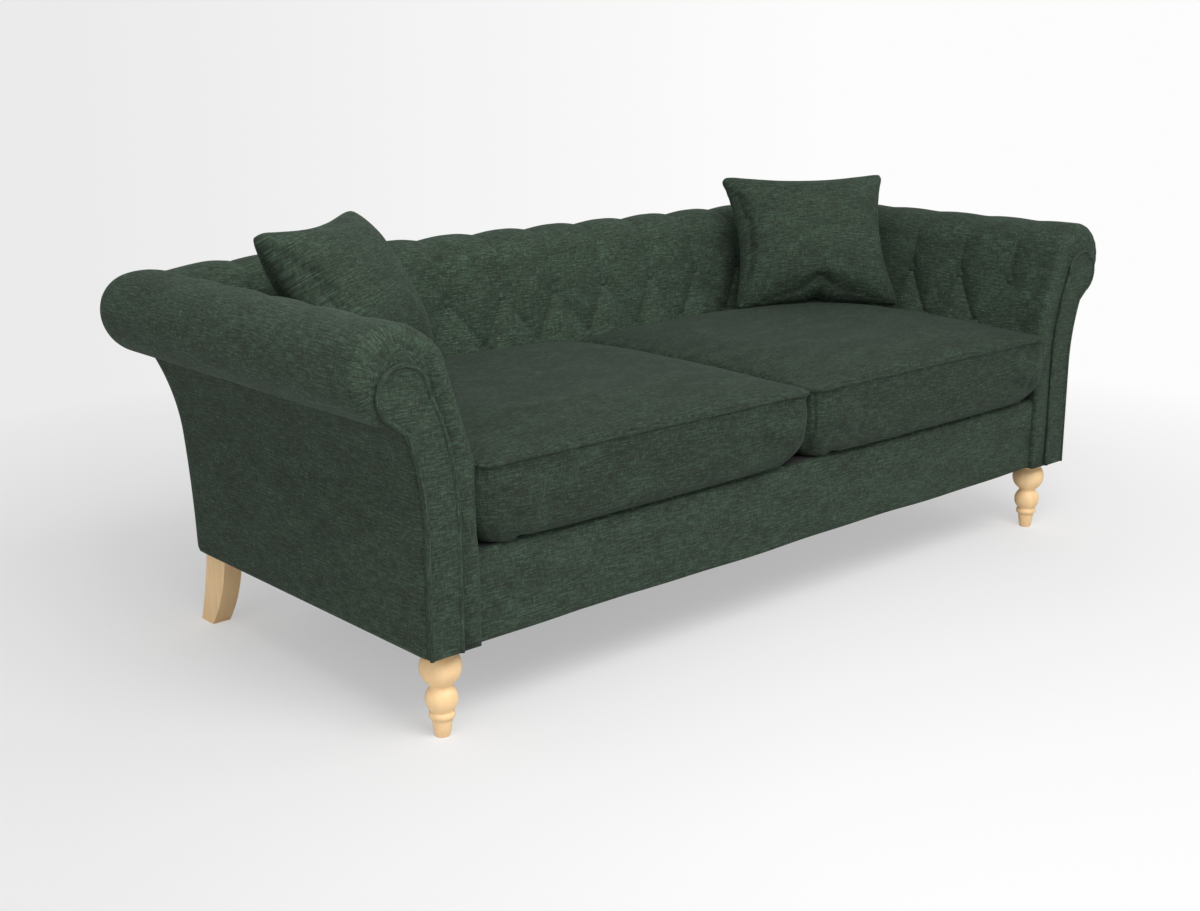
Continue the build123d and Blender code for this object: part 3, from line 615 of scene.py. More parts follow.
def padded_wall(name, along, turned, rows, place, height, knee, cover, tuck=0):
    """Closed padded wall from rows of lengths up the cover: its buttoned face and its hidden inner side.

    The tuck is the length of cover turned in at an end, so that the weave keeps its scale there.
    """
    out, up, n_out, n_up = wall_section(rows, knee)
    inner = np.arange(rows.shape[1] - 1, -1, -6)
    ring_out = np.concatenate([out + n_out * height, (out - n_out * padding)[:, inner]], axis=1)
    ring_up = np.concatenate([up + n_up * height, (up - n_up * padding)[:, inner]], axis=1)
    points = place(along[:, None], turned[:, None], ring_out, ring_up)
    lengths = np.concatenate([rows, rows[:, inner]], axis=1)
    across = (along + turned * roll_radius)[:, None] + 0 * lengths
    across[:, :rows.shape[1]] -= tuck
    maps = joined(across, lengths)
    faces = ring_faces(*ring_out.shape)
    obj = solid(name, points.reshape(-1, 3), faces, cover, maps.reshape(-1, 2))
    clean(obj)
    for face in obj.data.polygons:
        if face.loop_total > 4:
            for corner in face.loop_indices:
                at = obj.data.vertices[obj.data.loops[corner].vertex_index].co
                obj.data.uv_layers["cloth"].data[corner].uv = (at.x, at.z)
    return obj


def back_place(along, turned, out, up):
    """Points of the back wall; the room side ends at the mitre and the roll turns the corner."""
    limit = roll_x + np.minimum(out, 0)
    x = np.clip(along + 0 * out, -limit, limit)
    round_out = np.maximum(out, 0)
    x = x + round_out * np.sin(turned)
    y = roll_y + np.minimum(out, 0) + round_out * np.cos(turned)
    return joined(x, y, up)


def arm_place(along, turned, out, up):
    """Points of the right arm's wall, in the same way."""
    y = np.minimum(along + 0 * out, roll_y + np.minimum(out, 0))
    round_out = np.maximum(out, 0)
    x = roll_x + np.minimum(out, 0) + round_out * np.cos(turned)
    return joined(x, y + round_out * np.sin(turned), up)


def corner_fold(short, turned, out, rows):
    """Fold where two walls meet at a corner: full on the room side, dying out past the crest of the roll."""
    gap = short + np.where(out < 0, out, out * (pi / 4 - np.abs(turned)[:, None]))
    fade = unit(1 - (rows - crest) / 0.10)
    return -0.012 * fade * bell(gap, 0.022)


line = np.linspace(-roll_x, roll_x, ceil(2 * roll_x / step))
along = np.concatenate([np.full(len(fan), -roll_x), line, np.full(len(fan), roll_x)])
turned = np.concatenate([-fan[::-1], np.zeros(len(line)), fan])
rows = np.repeat(np.linspace(slope_foot, roll_end, 168)[None], len(along), axis=0)
u = np.repeat(along[:, None], rows.shape[1], axis=1)
back_reach = (back_columns[0] - back_pitch, back_columns[-1] + back_pitch)
height = buttoning(u, rows, back_columns, back_pitch, back_reach, back_past, back_scallop)
out = wall_section(rows, no_knee)[0]
from_corner = roll_x - np.abs(u)
height = height + corner_fold(from_corner, turned, out, rows)
slack_end = 0.018 * bell(from_corner, 0.10) * (1 - np.abs(turned)[:, None] / (pi / 4))
height = height - slack_end * bell(rows - crest, 0.09)
wall = (along, turned, rows, back_place, height, no_knee, back_weave_painted_lighter)
inside_back = padded_wall("inside_back_and_roll", *wall)
finish_piece(inside_back, "inside_back", "back_roll")

front_round = 0.024
front_strip = 0.024
wall_front = front_y + 0.001
line = np.linspace(wall_front, roll_y, ceil((roll_y - wall_front) / step))
line = np.concatenate([[wall_front, wall_front + 0.0006, wall_front + 0.002], line[1:]])
along = np.concatenate([line, np.full(len(fan), roll_y)])
turned = np.concatenate([np.zeros(len(line)), fan])
foot_height = np.where(along < front_y + front_strip, leg_height, deck)
foot = arm_knee - (knee_height - foot_height)
low = foot[:, None] + (arm_knee - foot[:, None]) * np.linspace(0, 1, 30)[None, :-1]
high = np.repeat(np.linspace(arm_knee, roll_end, 134)[None], len(along), axis=0)
rows = np.concatenate([low, high], axis=1)
u = np.repeat(along[:, None], rows.shape[1], axis=1)
depth = u - wall_front
arm_reach = (arm_columns[0], arm_columns[-1] + arm_pitch / 4)
pleated = np.maximum(rows, arm_knee - 0.1)
height = buttoning(u, pleated, arm_columns, arm_pitch, arm_reach, arm_past, arm_scallop)
out = wall_section(rows, arm_knee)[0]
height = height + corner_fold(roll_y - u, turned, out, rows)
above_deck = unit((rows - arm_knee + knee_height - deck) / 0.03)
on_roll = unit(rows / 0.05)
turn_in = 0.006 + above_deck * (0.008 + (front_round - 0.014) * on_roll)
full = 0.009 * bell(depth, 0.045) * (1 - on_roll)
height = height + full
eased = np.clip(turn_in - depth, 0, turn_in)
tuck = turn_in - np.sqrt(turn_in ** 2 - eased ** 2)
height = height - tuck
gathers = 0.5 - 0.5 * np.cos(tau * rows / 0.024)
height = height - 0.0014 * gathers * np.exp(-depth / 0.016) * unit(rows / 0.02)
for side, word in two_sides:
    mirrored = np.array([side, 1, 1])
    wall = (along, turned, rows, lambda *at: arm_place(*at) * mirrored, height, arm_knee, arm_weave_painted_lighter, tuck)
    inside_arm = padded_wall(f"inside_arm_and_roll_{word}", *wall)
    finish_piece(inside_arm, f"inside_arm_{word}", f"arm_roll_{word}")


# Buttons: domed metal moulds covered in the same weave, about as wide as a thumb nail.
# Each is drawn down into its pleats by a cord that goes through the padding and is tied to the webbing.
button_radius = 0.0115
button_dome = (1.0, 1.0, 0.5)
button_proud = 0.0025


def button_places(columns, lower, pitch, knee):
    """Length along a wall, place outward of the roll's axis, and height of each of its buttons."""
    feet = button_feet(columns, pitch)
    spots = [(c, button_line) for c in columns]
    spots += [(c, knee_line) for c in feet if within(c, lower)]
    u, v = np.array(spots).T
    sink = buttoning(u, v, columns, pitch, lower, back_past, back_scallop) + button_proud
    out, up, n_out, n_up = wall_section(v, knee)
    return u, out + n_out * sink, up + n_up * sink


def button_tree():
    """Node tree that sets a domed button on every point of a mesh, tilted to face the room."""
    tree = bpy.data.node_groups.new("covered buttons", "GeometryNodeTree")
    sizes = {"Radius": "Float", "Dome": "Vector", "Tilt": "Rotation", "Cover": "Material"}
    for name, kind in {"Points": "Geometry", **sizes}.items():
        tree.interface.new_socket(name, in_out="INPUT", socket_type=f"NodeSocket{kind}")
    tree.interface.new_socket("Buttons", in_out="OUTPUT", socket_type="NodeSocketGeometry")

    def add(kind, **sources):
        """Add a node and link its inputs by name."""
        made = tree.nodes.new(kind)
        for key, source in sources.items():
            tree.links.new(source, made.inputs[key])
        return made

    given = add("NodeGroupInput").outputs
    ball = add("GeometryNodeMeshUVSphere", Radius=given["Radius"])
    ball.inputs["Segments"].default_value = 20
    ball.inputs["Rings"].default_value = 10
    smooth = add("GeometryNodeSetShadeSmooth", Geometry=ball.outputs["Mesh"])
    dome = add("GeometryNodeTransform", Geometry=smooth.outputs["Geometry"], Scale=given["Dome"])
    spread = add(
        "GeometryNodeInstanceOnPoints",
        Points=given["Points"],
        Instance=dome.outputs["Geometry"],
        Rotation=given["Tilt"],
    )
    real = add("GeometryNodeRealizeInstances", Geometry=spread.outputs["Instances"])
    cover = add("GeometryNodeSetMaterial", Geometry=real.outputs["Geometry"], Material=given["Cover"])
    add("NodeGroupOutput", Buttons=cover.outputs["Geometry"])
    return tree


def applied(obj):
    """Mesh of an object as its modifiers leave it; they are then taken off."""
    mesh = bpy.data.meshes.new_from_object(obj.evaluated_get(bpy.context.evaluated_depsgraph_get()))
    obj.modifiers.clear()
    return mesh


def flat_map(obj, axes):
    """Cloth map in metres straight from two axes of the piece."""
    points = read(obj.data.vertices, "co", 3)
    lay_cloth(obj.data, points[corner_points(obj.data)][:, list(axes)])


covered_buttons = button_tree()


def sew_buttons(name, points, tilt, axes, node, cover):
    """Buttons at points on one wall, as a plain mesh in place of the CAD ones."""
    seed = solid(f"{name}_points", points, [], cover)
    sew = seed.modifiers.new("sew", "NODES")
    sew.node_group = covered_buttons
    values = {"Radius": button_radius, "Dome": button_dome, "Tilt": tilt, "Cover": cover}
    for item in covered_buttons.interface.items_tree:
        if item.item_type == "SOCKET" and item.in_out == "INPUT" and item.name in values:
            sew[item.identifier] = values[item.name]
    obj = show(name, applied(seed))
    bpy.data.objects.remove(seed)
    flat_map(obj, axes)
    finish_piece(obj, node)


tip = pi / 2 - lean
u, out, up = button_places(back_columns, back_reach, back_pitch, no_knee)
at = joined(u, roll_y + out, up)
sew_buttons("covered_back_buttons", at, (tip, 0, 0), (0, 2), "back_buttons", back_weave_painted_lighter)
u, out, up = button_places(arm_columns, arm_reach, arm_pitch, arm_knee)
for side, word in two_sides:
    at = joined(side * (roll_x + out), u, up)
    tilt = (0, -side * tip, 0)
    sew_buttons(f"covered_arm_buttons_{word}", at, tilt, (1, 2), f"arm_buttons_{word}", arm_weave_painted_lighter)


# Arm facings: scroll-headed boards wrapped in the weave, with a cord of the same cloth sewn round the edge.
# They are pushed on last, over the gathered front of the roll and the tacked edges of the arm covers.
scroll_x = roll_x - 0.002
scroll_z = roll_z - 0.028
scroll_radius = 0.048
facing_inner = side_x - 0.065
facing_front = front_y - 0.006


def inner_line(z):
    """Inner edge of the facing's stem: upright, then drawn over to the scroll."""
    return bowed(z, facing_inner, scroll_x - scroll_radius, scroll_z)


climb = np.linspace(leg_height + 0.002, under_roll - 0.012, 60)
head = np.radians(np.linspace(-66, 180, 70))
fall = np.linspace(scroll_z, leg_height + 0.002, 70)[1:]
facing_edge = np.concatenate([
    joined(outside_line(climb) - 0.003, climb),
    joined(scroll_x + scroll_radius * np.cos(head), scroll_z + scroll_radius * np.sin(head)),
    joined(inner_line(fall), fall),
])


def cord_tube(name, path, radius, material, closed=False, sides=10):
    """Round cord along a path of points."""
    path = np.asarray(path)
    ahead = np.roll(path, -1, axis=0) - np.roll(path, 1, axis=0)
    if not closed:
        ahead[0] = path[1] - path[0]
        ahead[-1] = path[-1] - path[-2]
    ahead /= np.linalg.norm(ahead, axis=1)[:, None]
    first = np.cross(ahead, (0.0, 1.0, 0.0))
    weak = np.linalg.norm(first, axis=1) < 0.2
    first[weak] = np.cross(ahead[weak], (0.0, 0.0, 1.0))
    first /= np.linalg.norm(first, axis=1)[:, None]
    second = np.cross(ahead, first)
    angles = np.linspace(0, tau, sides, endpoint=False)
    rings = path[:, None] + radius * (
        np.cos(angles)[None, :, None] * first[:, None] + np.sin(angles)[None, :, None] * second[:, None]
    )
    lengths = np.concatenate([[0], np.cumsum(np.linalg.norm(np.diff(path, axis=0), axis=1))])
    maps = joined(
        np.repeat(lengths[:, None], sides, axis=1),
        np.repeat((angles * radius)[None], len(path), axis=0),
    )
    faces = ring_faces(len(path), sides)
    if closed:
        faces = faces[:-2]
        last = (len(path) - 1) * sides
        faces += [(last + j, last + (j + 1) % sides, (j + 1) % sides, j) for j in range(sides)]
    cord = solid(name, rings.reshape(-1, 3), faces, material, maps.reshape(-1, 2))
    clean(cord)
    return cord


cord_radius = 0.0042
cord_set_in = 0.0012
gather_folds = 24
gather_radii = np.linspace(0.008, 0.068, 16)
gather_turns = np.linspace(0, tau, 120, endpoint=False)
for side, word in two_sides:
    count = len(facing_edge)
    front = joined(side * facing_edge[:, 0], np.full(count, facing_front), facing_edge[:, 1])
    behind = front + np.array([0, facing_back - facing_front, 0])
    board = [tuple(range(count)), tuple(range(2 * count - 1, count - 1, -1))]
    board += [(j, count + j, count + (j + 1) % count, (j + 1) % count) for j in range(count)]
    maps = np.concatenate([facing_edge, facing_edge])
    facing = solid(f"facing_board_{word}", np.concatenate([front, behind]), board, weave, maps)
    clean(facing)
    facing.data.shade_flat()
    finish_piece(facing, f"arm_facing_{word}")
    r, a = np.meshgrid(gather_radii, gather_turns, indexing="ij")
    fold = 0.0010 * np.sin(gather_folds * a) * unit((r - 0.02) / 0.03)
    y = wall_front - 0.0025 + 0.010 * (r / gather_radii[-1]) ** 8 + fold
    rings = joined(side * (roll_x + r * np.cos(a)), y, roll_z + r * np.sin(a))
    gather_map = joined(a * 0.05, r).reshape(-1, 2)
    gather = solid(f"roll_gather_{word}", rings.reshape(-1, 3), ring_faces(*r.shape), weave, gather_map)
    clean(gather)
    finish_piece(gather)
    cord = cord_tube(f"facing_cord_{word}", front + np.array([0, cord_set_in, 0]), cord_radius, weave)
    finish_piece(cord, f"facing_piping_{word}")


# Front border: the same weave over thin wadding on the front rail, below the seat cushions.
# It is carried over the edge of the platform, tucked in at the arms, and hemmed and stapled underneath.
border_low, border_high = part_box("front_border")
border_top = deck - 0.0005
border_round = 0.010
z, t = np.meshgrid(np.linspace(border_low[2], border_top, 48), np.linspace(-1, 1, 220), indexing="ij")
x = t * border_high[0]
over = np.clip(z - border_top + border_round, 0, border_round)
top = border_round - np.sqrt(border_round ** 2 - over ** 2)
rise = z - border_low[2]
hem = 0.004 * np.exp(-rise / 0.005)
ripple = 0.0012 * np.sin(23 * x + 1.3) * np.exp(-rise / 0.05)
wave = 0.0015 * np.sin(9 * x) * np.exp(-rise / 0.03)
y = border_low[1] + top + hem + ripple
back = joined(x, np.full_like(x, border_high[1] - 0.0002), z)
border = skin("front_border_cover", joined(x, y, z + wave), back, joined(x, z), weave)
finish_piece(border, "front_border")


# Seat cushions: boxed covers over a foam block wrapped in fibre and feather, zipped at the back.
# They lie loose on the platform, a little too full for their covers, so that the tops crown and the fronts
# bulge over the border.
def ring_points(left, right, front, back, corner, count=10):
    """Rectangle with round corners, anticlockwise from its front left."""
    points = []
    for x, y, start in ((left, front, 180), (right, front, 270), (right, back, 0), (left, back, 90)):
        cx = x + corner if x == left else x - corner
        cy = y + corner if y == front else y - corner
        for a in np.radians(np.linspace(start, start + 90, count)):
            points.append((cx + corner * cos(a), cy + corner * sin(a)))
    return points


last_frame = 20
give = 0.002


def swell(obj, voxel, pressure, cap, slack):
    """Fill a blank: even out its mesh, blow it up as slack cloth, and cap how far its points move."""
    even = obj.modifiers.new("even", "REMESH")
    even.mode = "VOXEL"
    even.voxel_size = voxel
    mesh = applied(obj)
    obj.data = mesh
    before = read(mesh.vertices, "co", 3)
    outward = read(mesh.vertices, "normal", 3)
    cloth = obj.modifiers.new("fill", "CLOTH")
    cloth.settings.quality = 4
    cloth.settings.mass = 0.3
    cloth.settings.tension_stiffness = 12
    cloth.settings.compression_stiffness = 8
    cloth.settings.bending_stiffness = 0.3
    cloth.settings.shrink_min = -slack
    cloth.settings.use_pressure = True
    cloth.settings.uniform_pressure_force = pressure
    cloth.settings.effector_weights.gravity = 0
    cloth.point_cache.frame_start = 1
    cloth.point_cache.frame_end = last_frame
    for moment in range(1, last_frame + 1):
        bpy.context.scene.frame_set(moment)
    shown = obj.evaluated_get(bpy.context.evaluated_depsgraph_get())
    shift = read(shown.data.vertices, "co", 3) - before
    obj.modifiers.clear()
    bpy.context.scene.frame_set(1)
    sunk = np.minimum(np.sum(shift * outward, axis=1) + give, 0)
    shift -= sunk[:, None] * outward
    size = np.linalg.norm(shift, axis=1)
    shift *= np.minimum(1, cap / np.maximum(size, 1e-9))[:, None]
    mesh.vertices.foreach_set("co", (before + shift).ravel())


def reshape(obj, change, side):
    """Pass the points of a cushion on one side through a function."""
    obj.data.vertices.foreach_set("co", change(read(obj.data.vertices, "co", 3), side).ravel())
    obj.data.update()


def box_map(obj):
    """Cloth map in metres: tops and bottoms by width and depth, fronts and sides by length and height."""
    mesh = obj.data
    place = read(mesh.vertices, "co", 3)[corner_points(mesh)]
    normals = np.abs(read(mesh.polygons, "normal", 3))
    sizes = read(mesh.polygons, "loop_total", 1, np.int32)[:, 0]
    kind = np.repeat(np.argmax(normals * np.array([1.0, 1.0, 0.9]), axis=1), sizes)
    axes = np.array([(1, 2), (0, 2), (0, 1)])[kind]
    lay_cloth(mesh, np.take_along_axis(place, axes, axis=1))


def subdivide(obj, material):
    """Finish a soft form with one level of subdivision and the weave of its cover."""
    finer = obj.modifiers.new("finer", "SUBSURF")
    finer.levels = 1
    finer.render_levels = 1
    obj.data = applied(obj)
    obj.data.shade_smooth()
    obj.data.materials.clear()
    obj.data.materials.append(material)


seat_low, seat_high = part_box("seat_cover_right")
seam_z = seat_low[2] + 0.150
crown_top = seat_high[2] + 0.012
crown_rise = 0.048
corner_lift = 0.040
front_bulge = 0.006
seam_proud = 0.004
seam_reach = 0.030
groove_depth = 0.006
seat_middle = 0.4
cover_corner = 0.045
foam_corner = 0.055
ring_size = 40


def back_limit(z):
    """How far back a seat cushion may reach at a height, just short of the buttoned back."""
    inside = (roll_radius - (np.minimum(z, seam_z) - roll_z) * sin(lean)) / cos(lean)
    return roll_y - inside - 0.002


def seam_path(obj, side):
    """Closed line round a seat cushion at its top seam, lying on the cover."""
    tree = BVHTree.FromPolygons([v.co for v in obj.data.vertices], [p.vertices for p in obj.data.polygons])
    middle = Vector((side * (seat_low[0] + seat_high[0]) / 2, (seat_low[1] + back_limit(seam_z)) / 2, seam_z))
    outline = ring_points(seat_low[0], seat_high[0], seat_low[1], back_limit(seam_z), cover_corner, 30)
    path = []
    for start, end in zip(outline, outline[1:] + outline[:1]):
        gap = np.hypot(end[0] - start[0], end[1] - start[1])
        pieces = max(1, round(gap / 0.008))
        for k in range(pieces):
            x = start[0] + (end[0] - start[0]) * k / pieces
            y = start[1] + (end[1] - start[1]) * k / pieces
            place = Vector((side * x, y, seam_z - 0.001))
            inward = middle - place
            inward.z = 0
            inward.normalize()
            hit = tree.ray_cast(place - 0.05 * inward, inward)[0]
            if hit and (not path or (hit - path[-1]).length > 0.004):
                path.append(hit)
    return np.array(path)


# A shaded copy of the one weave: the seat cushions are painted darker, as painted shade on their lit tops.
seat_weave_painted_darker = slub_weave("slub weave of the seats", 0.80)

foam_cream = ((0.3, (0.62, 0.57, 0.44)), (0.7, (0.80, 0.76, 0.64)))
foam = fibrous("cream foam in fibre wrap", (420.0, 3.0, 0.7), foam_cream, 0.95, (0.4, 0.001))
zip_green = ((0.3, (0.010, 0.016, 0.012)), (0.7, (0.035, 0.050, 0.038)))
zip_nylon = ribbed("dark green nylon zip", "X", 130.0, zip_green, 0.5, (0.5, 0.0006))

zip_width = 0.018
zip_z = sum(corner[2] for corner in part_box("seat_zip_right")) / 2
# Rise over the platform and inset from the outline, up the foam block and up the blank of the cover
foam_levels = [(0.014, 0.050), (0.020, 0.032), (0.040, 0.022), (0.125, 0.022), (0.140, 0.032), (0.146, 0.060)]
seat_levels = [
    (0.000, 0.034), (0.004, 0.020), (0.012, 0.011), (0.026, 0.006), (0.075, 0.004), (0.130, 0.005),
    (0.145, 0.008), (0.150, 0.014), (0.156, 0.032), (0.163, 0.070), (0.168, 0.130), (0.171, 0.220),
]


def cushion_rings(levels, side, corner, lift):
    """Points of a boxed form, ring by ring, from its levels."""
    points = []
    for rise, inset in levels:
        ends = (seat_low[0] + inset, seat_high[0] - inset)
        back = back_limit(seat_low[2] + rise)
        ring = ring_points(*ends, seat_low[1] + inset, back - inset, corner)
        points += [(side * x, y, seat_low[2] + lift + rise) for x, y in ring]
    return points


def settle(at, side):
    """Press a cushion on the platform, arms, back and neighbour, and lift its lower front corners."""
    x, y, z = side * at[:, 0], at[:, 1], at[:, 2]
    from_end = np.minimum(x - seat_low[0], seat_high[0] - x)
    corner = unit(1 - from_end / 0.12) ** 1.3 * unit(1 - (y - seat_low[1]) / 0.14)
    z = z + corner_lift * corner * unit(1 - (z - seat_low[2]) / 0.13)
    x = np.clip(x, seat_low[0], seat_high[0])
    y = np.minimum(np.maximum(y, seat_low[1] - front_bulge), back_limit(z))
    lip = bell(z - seam_z, 0.014)
    from_front = y - seat_low[1]
    to_end = np.where(x > seat_middle, seat_high[0] - x, seat_low[0] - x)
    x = x + lip * unit(1 - from_end / seam_reach) * to_end
    round_off = 0.012 * unit(1 - from_end / 0.05) ** 2
    y = y + lip * unit(1 - from_front / seam_reach) * (seat_low[1] - seam_proud + round_off - y)
    groove = bell(z - seam_z + 0.013, 0.006)
    y = y + groove_depth * groove * unit(1 - from_front / seam_reach)
    a = unit(from_end / 0.34)
    b = unit(np.minimum(y - seat_low[1], back_limit(seam_z) - y) / 0.35)
    dome = seam_z + crown_rise * ((1 - (1 - a) ** 2.4) * (1 - (1 - b) ** 2)) ** 0.6
    on_top = unit((z - seam_z) / 0.006)
    z = z + on_top * 0.95 * (dome - z)
    z = np.clip(z, seat_low[2], crown_top)
    return joined(side * x, y, z)


for side, word in two_sides:
    body = f"seat_cushion_{word}"
    blank = cushion_rings(seat_levels, side, cover_corner, 0.002)
    cushion = solid(f"seat_cushion_cover_{word}", blank, ring_faces(len(seat_levels), ring_size), seat_weave_painted_darker)
    clean(cushion)
    swell(cushion, voxel=0.008, pressure=4.0, cap=0.024, slack=0.05)
    reshape(cushion, settle, side)
    subdivide(cushion, seat_weave_painted_darker)
    box_map(cushion)
    finish_piece(cushion, f"seat_cover_{word}", body=body)
    seam = seam_path(cushion, side)
    cord = cord_tube(f"seat_seam_cord_{word}", seam, 0.0036, seat_weave_painted_darker, closed=True, sides=8)
    finish_piece(cord, body=body)
    blank = cushion_rings(foam_levels, side, foam_corner, 0)
    block = solid(f"seat_foam_{word}", blank, ring_faces(len(foam_levels), ring_size), foam)
    clean(block)
    reshape(block, settle, side)
    finish_piece(block, f"seat_pad_{word}", body=body, slot="filling")
    zip_low, zip_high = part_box(f"seat_zip_{word}")
    across = np.linspace(-zip_width / 2, zip_width / 2, 9)
    z, x = np.meshgrid(zip_z + across, np.linspace(zip_low[0], zip_high[0], 60), indexing="ij")
    proud = 0.0008 + 0.0014 * bell(z - zip_z, 0.003)
    teeth = joined(x, back_limit(z) + proud, z)
    back = joined(x, back_limit(z) - 0.004, z)
    tape = skin(f"seat_zip_tape_{word}", teeth, back, joined(x, z), zip_nylon)
    finish_piece(tape, f"seat_zip_{word}", body=body, slot="zip_tape")


# Scatter cushions: knife-edged covers in the same weave over feather pads, zipped behind the bottom edge.
# They stand loose on the seats and lean in the two back corners, plumped up, with their corners as ears.
scatter_width = 0.420
scatter_height = 0.360
scatter_thickness = 0.120
scatter_bow = 0.024
scatter_side_bow = 0.034
scatter_turn = radians(33.5)
scatter_lean = radians(30)
pad_low, pad_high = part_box("scatter_pad_right")
scatter_middle = (Vector(pad_low) + Vector(pad_high)) / 2
scatter_across = Vector((cos(scatter_turn), -sin(scatter_turn), 0))
scatter_face = Vector((
    -sin(scatter_turn) * cos(scatter_lean),
    -cos(scatter_turn) * cos(scatter_lean),
    sin(scatter_lean),
))
scatter_up = scatter_face.cross(scatter_across)
scatter_axes = np.array([scatter_across, scatter_up, scatter_face])
face_fullness = 1.45
rear_fullness = 0.92

lattice = np.linspace(-1, 1, 61)
a, b = np.meshgrid(lattice, lattice, indexing="ij")
ear = 1 - 0.06 * (a * b) ** 10
flat_x = a * ear * (scatter_width / 2 + 0.006 - scatter_side_bow * (1 - b ** 2))
flat_y = b * ear * (scatter_height / 2 + 0.005 - scatter_bow * (1 - a ** 2))
flat_y = flat_y + 0.014 * bell(a, 0.13) * unit(-b) ** 3
half_thick = 0.007 + 0.9 * scatter_thickness / 2 * ((1 - np.abs(a) ** 2.2) * (1 - np.abs(b) ** 2.2)) ** 0.6
maps = joined(flat_x, flat_y)
# A lit copy of the one weave: the scatter cushions are painted lighter, as painted light.
scatter_weave_painted_lighter = slub_weave("slub weave of the scatter cushions", 1.08)
cambric_white = ((0.3, (0.70, 0.69, 0.66)), (0.7, (0.82, 0.81, 0.78)))
cambric = fibrous("white cambric of the feather pads", (700.0, 2.0, 0.6), cambric_white, 0.9, (0.3, 0.0004))


def lean_in_corner(at, side):
    """Carry a flat cushion to its place, leaning in a corner of the seat."""
    return (at @ scatter_axes + np.array(scatter_middle)) * np.array([side, 1, 1])


front = joined(flat_x, flat_y, face_fullness * half_thick)
behind = joined(flat_x, flat_y, -rear_fullness * half_thick)
pad_front = joined(0.8 * flat_x, 0.8 * flat_y, 0.55 * half_thick)
zip_x, zip_y = flat_x[12:-12, 0], flat_y[12:-12, 0]
zip_line = joined(zip_x, zip_y + 0.004, 0 * zip_x - 0.009)
for side, word in two_sides:
    body = f"scatter_cushion_{word}"
    scatter = skin(f"scatter_cushion_cover_{word}", front, behind, maps, scatter_weave_painted_lighter)
    swell(scatter, voxel=0.006, pressure=4.0, cap=0.016, slack=0.03)
    subdivide(scatter, scatter_weave_painted_lighter)
    flat_map(scatter, (0, 1))
    reshape(scatter, lean_in_corner, side)
    clean(scatter, 1e-7)
    finish_piece(scatter, f"scatter_cover_{word}", body=body)
    pad = skin(f"scatter_feather_{word}", pad_front, pad_front * (1, 1, -1), maps, cambric)
    reshape(pad, lean_in_corner, side)
    clean(pad)
    finish_piece(pad, f"scatter_pad_{word}", body=body, slot="filling")
    tape = cord_tube(f"scatter_zip_tape_{word}", lean_in_corner(zip_line, side), 0.0025, zip_nylon, sides=8)
    finish_piece(tape, f"scatter_zip_{word}", body=body, slot="zip_tape")


# Studio: a pale floor that runs into a pale backdrop, under soft light from three lamps and the room.
# The floor keeps the sofa's shadow, and the camera stands at the photograph's place.
view_pitch = radians(14.7293)
view_yaw = radians(42.392)
view_roll = radians(-0.187)
view_place = Vector((-2.31711, -2.46664, 1.16218))
look = Vector((sin(view_yaw) * cos(view_pitch), cos(view_yaw) * cos(view_pitch), -sin(view_pitch)))
right = Vector((cos(view_yaw), -sin(view_yaw), 0))


def lay_backdrop(finish, kind, direction, share, output):
    """Mix the backdrop over a shader by a share: pale grey on the left of the view, white on the right."""
    across = finish.vector("DOT_PRODUCT", direction, tuple(right))
    shade = finish.ramp(across + 0.5, (0.18, (0.83, 0.83, 0.83)), (0.62, (0.98, 0.98, 0.98)))
    glow = finish.node(kind, {}, {0: shade})[0]
    own = Sock(finish, finish.shader.outputs[0])
    both = finish.node("ShaderNodeMixShader", {}, {0: share, 1: own, 2: glow})[0]
    finish.feed(finish.tree.nodes[output].inputs["Surface"], both)


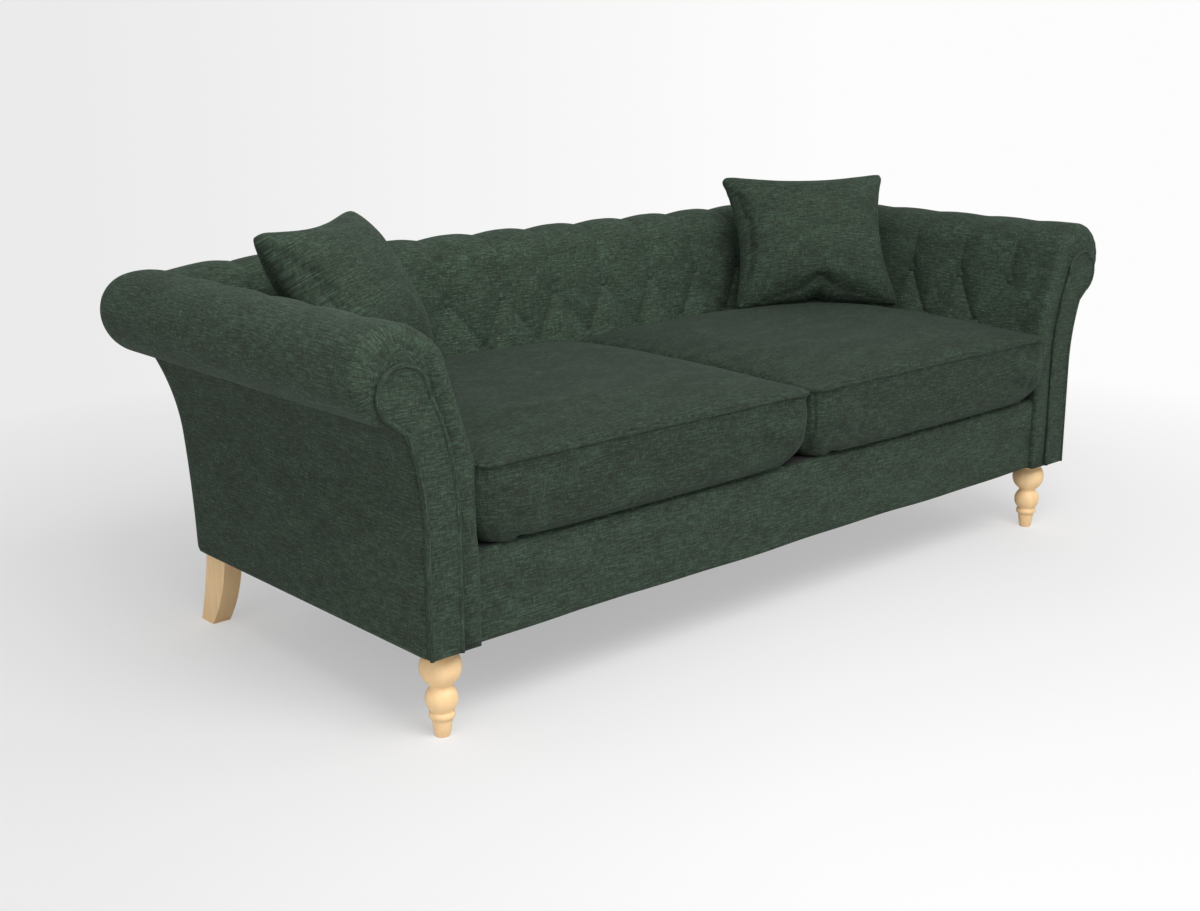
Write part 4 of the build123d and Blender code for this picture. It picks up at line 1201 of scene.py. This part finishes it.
floor_finish = Finish("pale floor")
seen = floor_finish.node("ShaderNodeLightPath")[0]
floor_grey = floor_finish.ramp(seen, (0.0, (0.74, 0.74, 0.74)), (1.0, (0.80, 0.80, 0.80)))
floor_finish.set(Base_Color=floor_grey, Roughness=0.9)
spot = floor_finish.coords()
away = floor_finish.vector("SUBTRACT", spot, tuple(view_place))
heading = floor_finish.vector("NORMALIZE", away)
reach = floor_finish.vector("LENGTH", spot)
far = floor_finish.ramp(reach / 6.0, (0.16, (0.45, 0.45, 0.45)), (0.42, (1, 1, 1)))
lay_backdrop(floor_finish, "ShaderNodeEmission", heading, far * seen, "Material Output")
floor_half = 40
floor_corners = [(x * floor_half, y * floor_half, 0) for x, y in ((-1, -1), (1, -1), (1, 1), (-1, 1))]
floor = solid("floor", floor_corners, [(0, 1, 2, 3)], floor_finish.material)

bpy.context.scene.world = bpy.data.worlds.new("studio")
room = Finish("room", bpy.context.scene.world)
heading = room.node("ShaderNodeTexCoord")[0]
turned = room.vector("DOT_PRODUCT", heading, tuple(right))
room_grey = room.ramp(turned * 0.5 + 0.5, (0.0, (0.42, 0.42, 0.42)), (1.0, (0.56, 0.56, 0.56)))
room.set(Color=room_grey, Strength=1.0)
seen = room.node("ShaderNodeLightPath")[0]
lay_backdrop(room, "ShaderNodeBackground", heading, seen, "World Output")


def softbox(name, place, target, width, depth, power):
    """Rectangular studio lamp aimed at a point."""
    lamp = bpy.data.lights.new(name, "AREA")
    lamp.shape = "RECTANGLE"
    lamp.size = width
    lamp.size_y = depth
    lamp.energy = power
    obj = show(name, lamp)
    obj.location = place
    obj.rotation_euler = (Vector(target) - Vector(place)).to_track_quat("-Z", "Y").to_euler()


softbox("front softbox", (-0.9, -2.5, 3.1), (0.1, 0.3, 0.5), 2.6, 1.6, 102)
softbox("side softbox", (3.4, -2.4, 2.4), (0.3, 0.0, 0.4), 2.0, 2.0, 10)
softbox("left softbox", (-3.6, -1.2, 1.9), (0.2, 0.0, 0.5), 2.0, 2.0, 20)

camera = bpy.data.cameras.new("camera")
camera.sensor_width = 36.0
camera.lens = 47.066
camera.shift_x = -0.0217
camera.shift_y = -0.0060
camera_obj = show("camera", camera)
over = right.cross(look)
across = right * cos(view_roll) + over * sin(view_roll)
above = over * cos(view_roll) - right * sin(view_roll)
turn = Matrix((across, above, -look)).transposed()
camera_obj.matrix_world = Matrix.Translation(view_place) @ turn.to_4x4()
bpy.context.scene.camera = camera_obj
bpy.context.scene.view_settings.view_transform = "Standard"
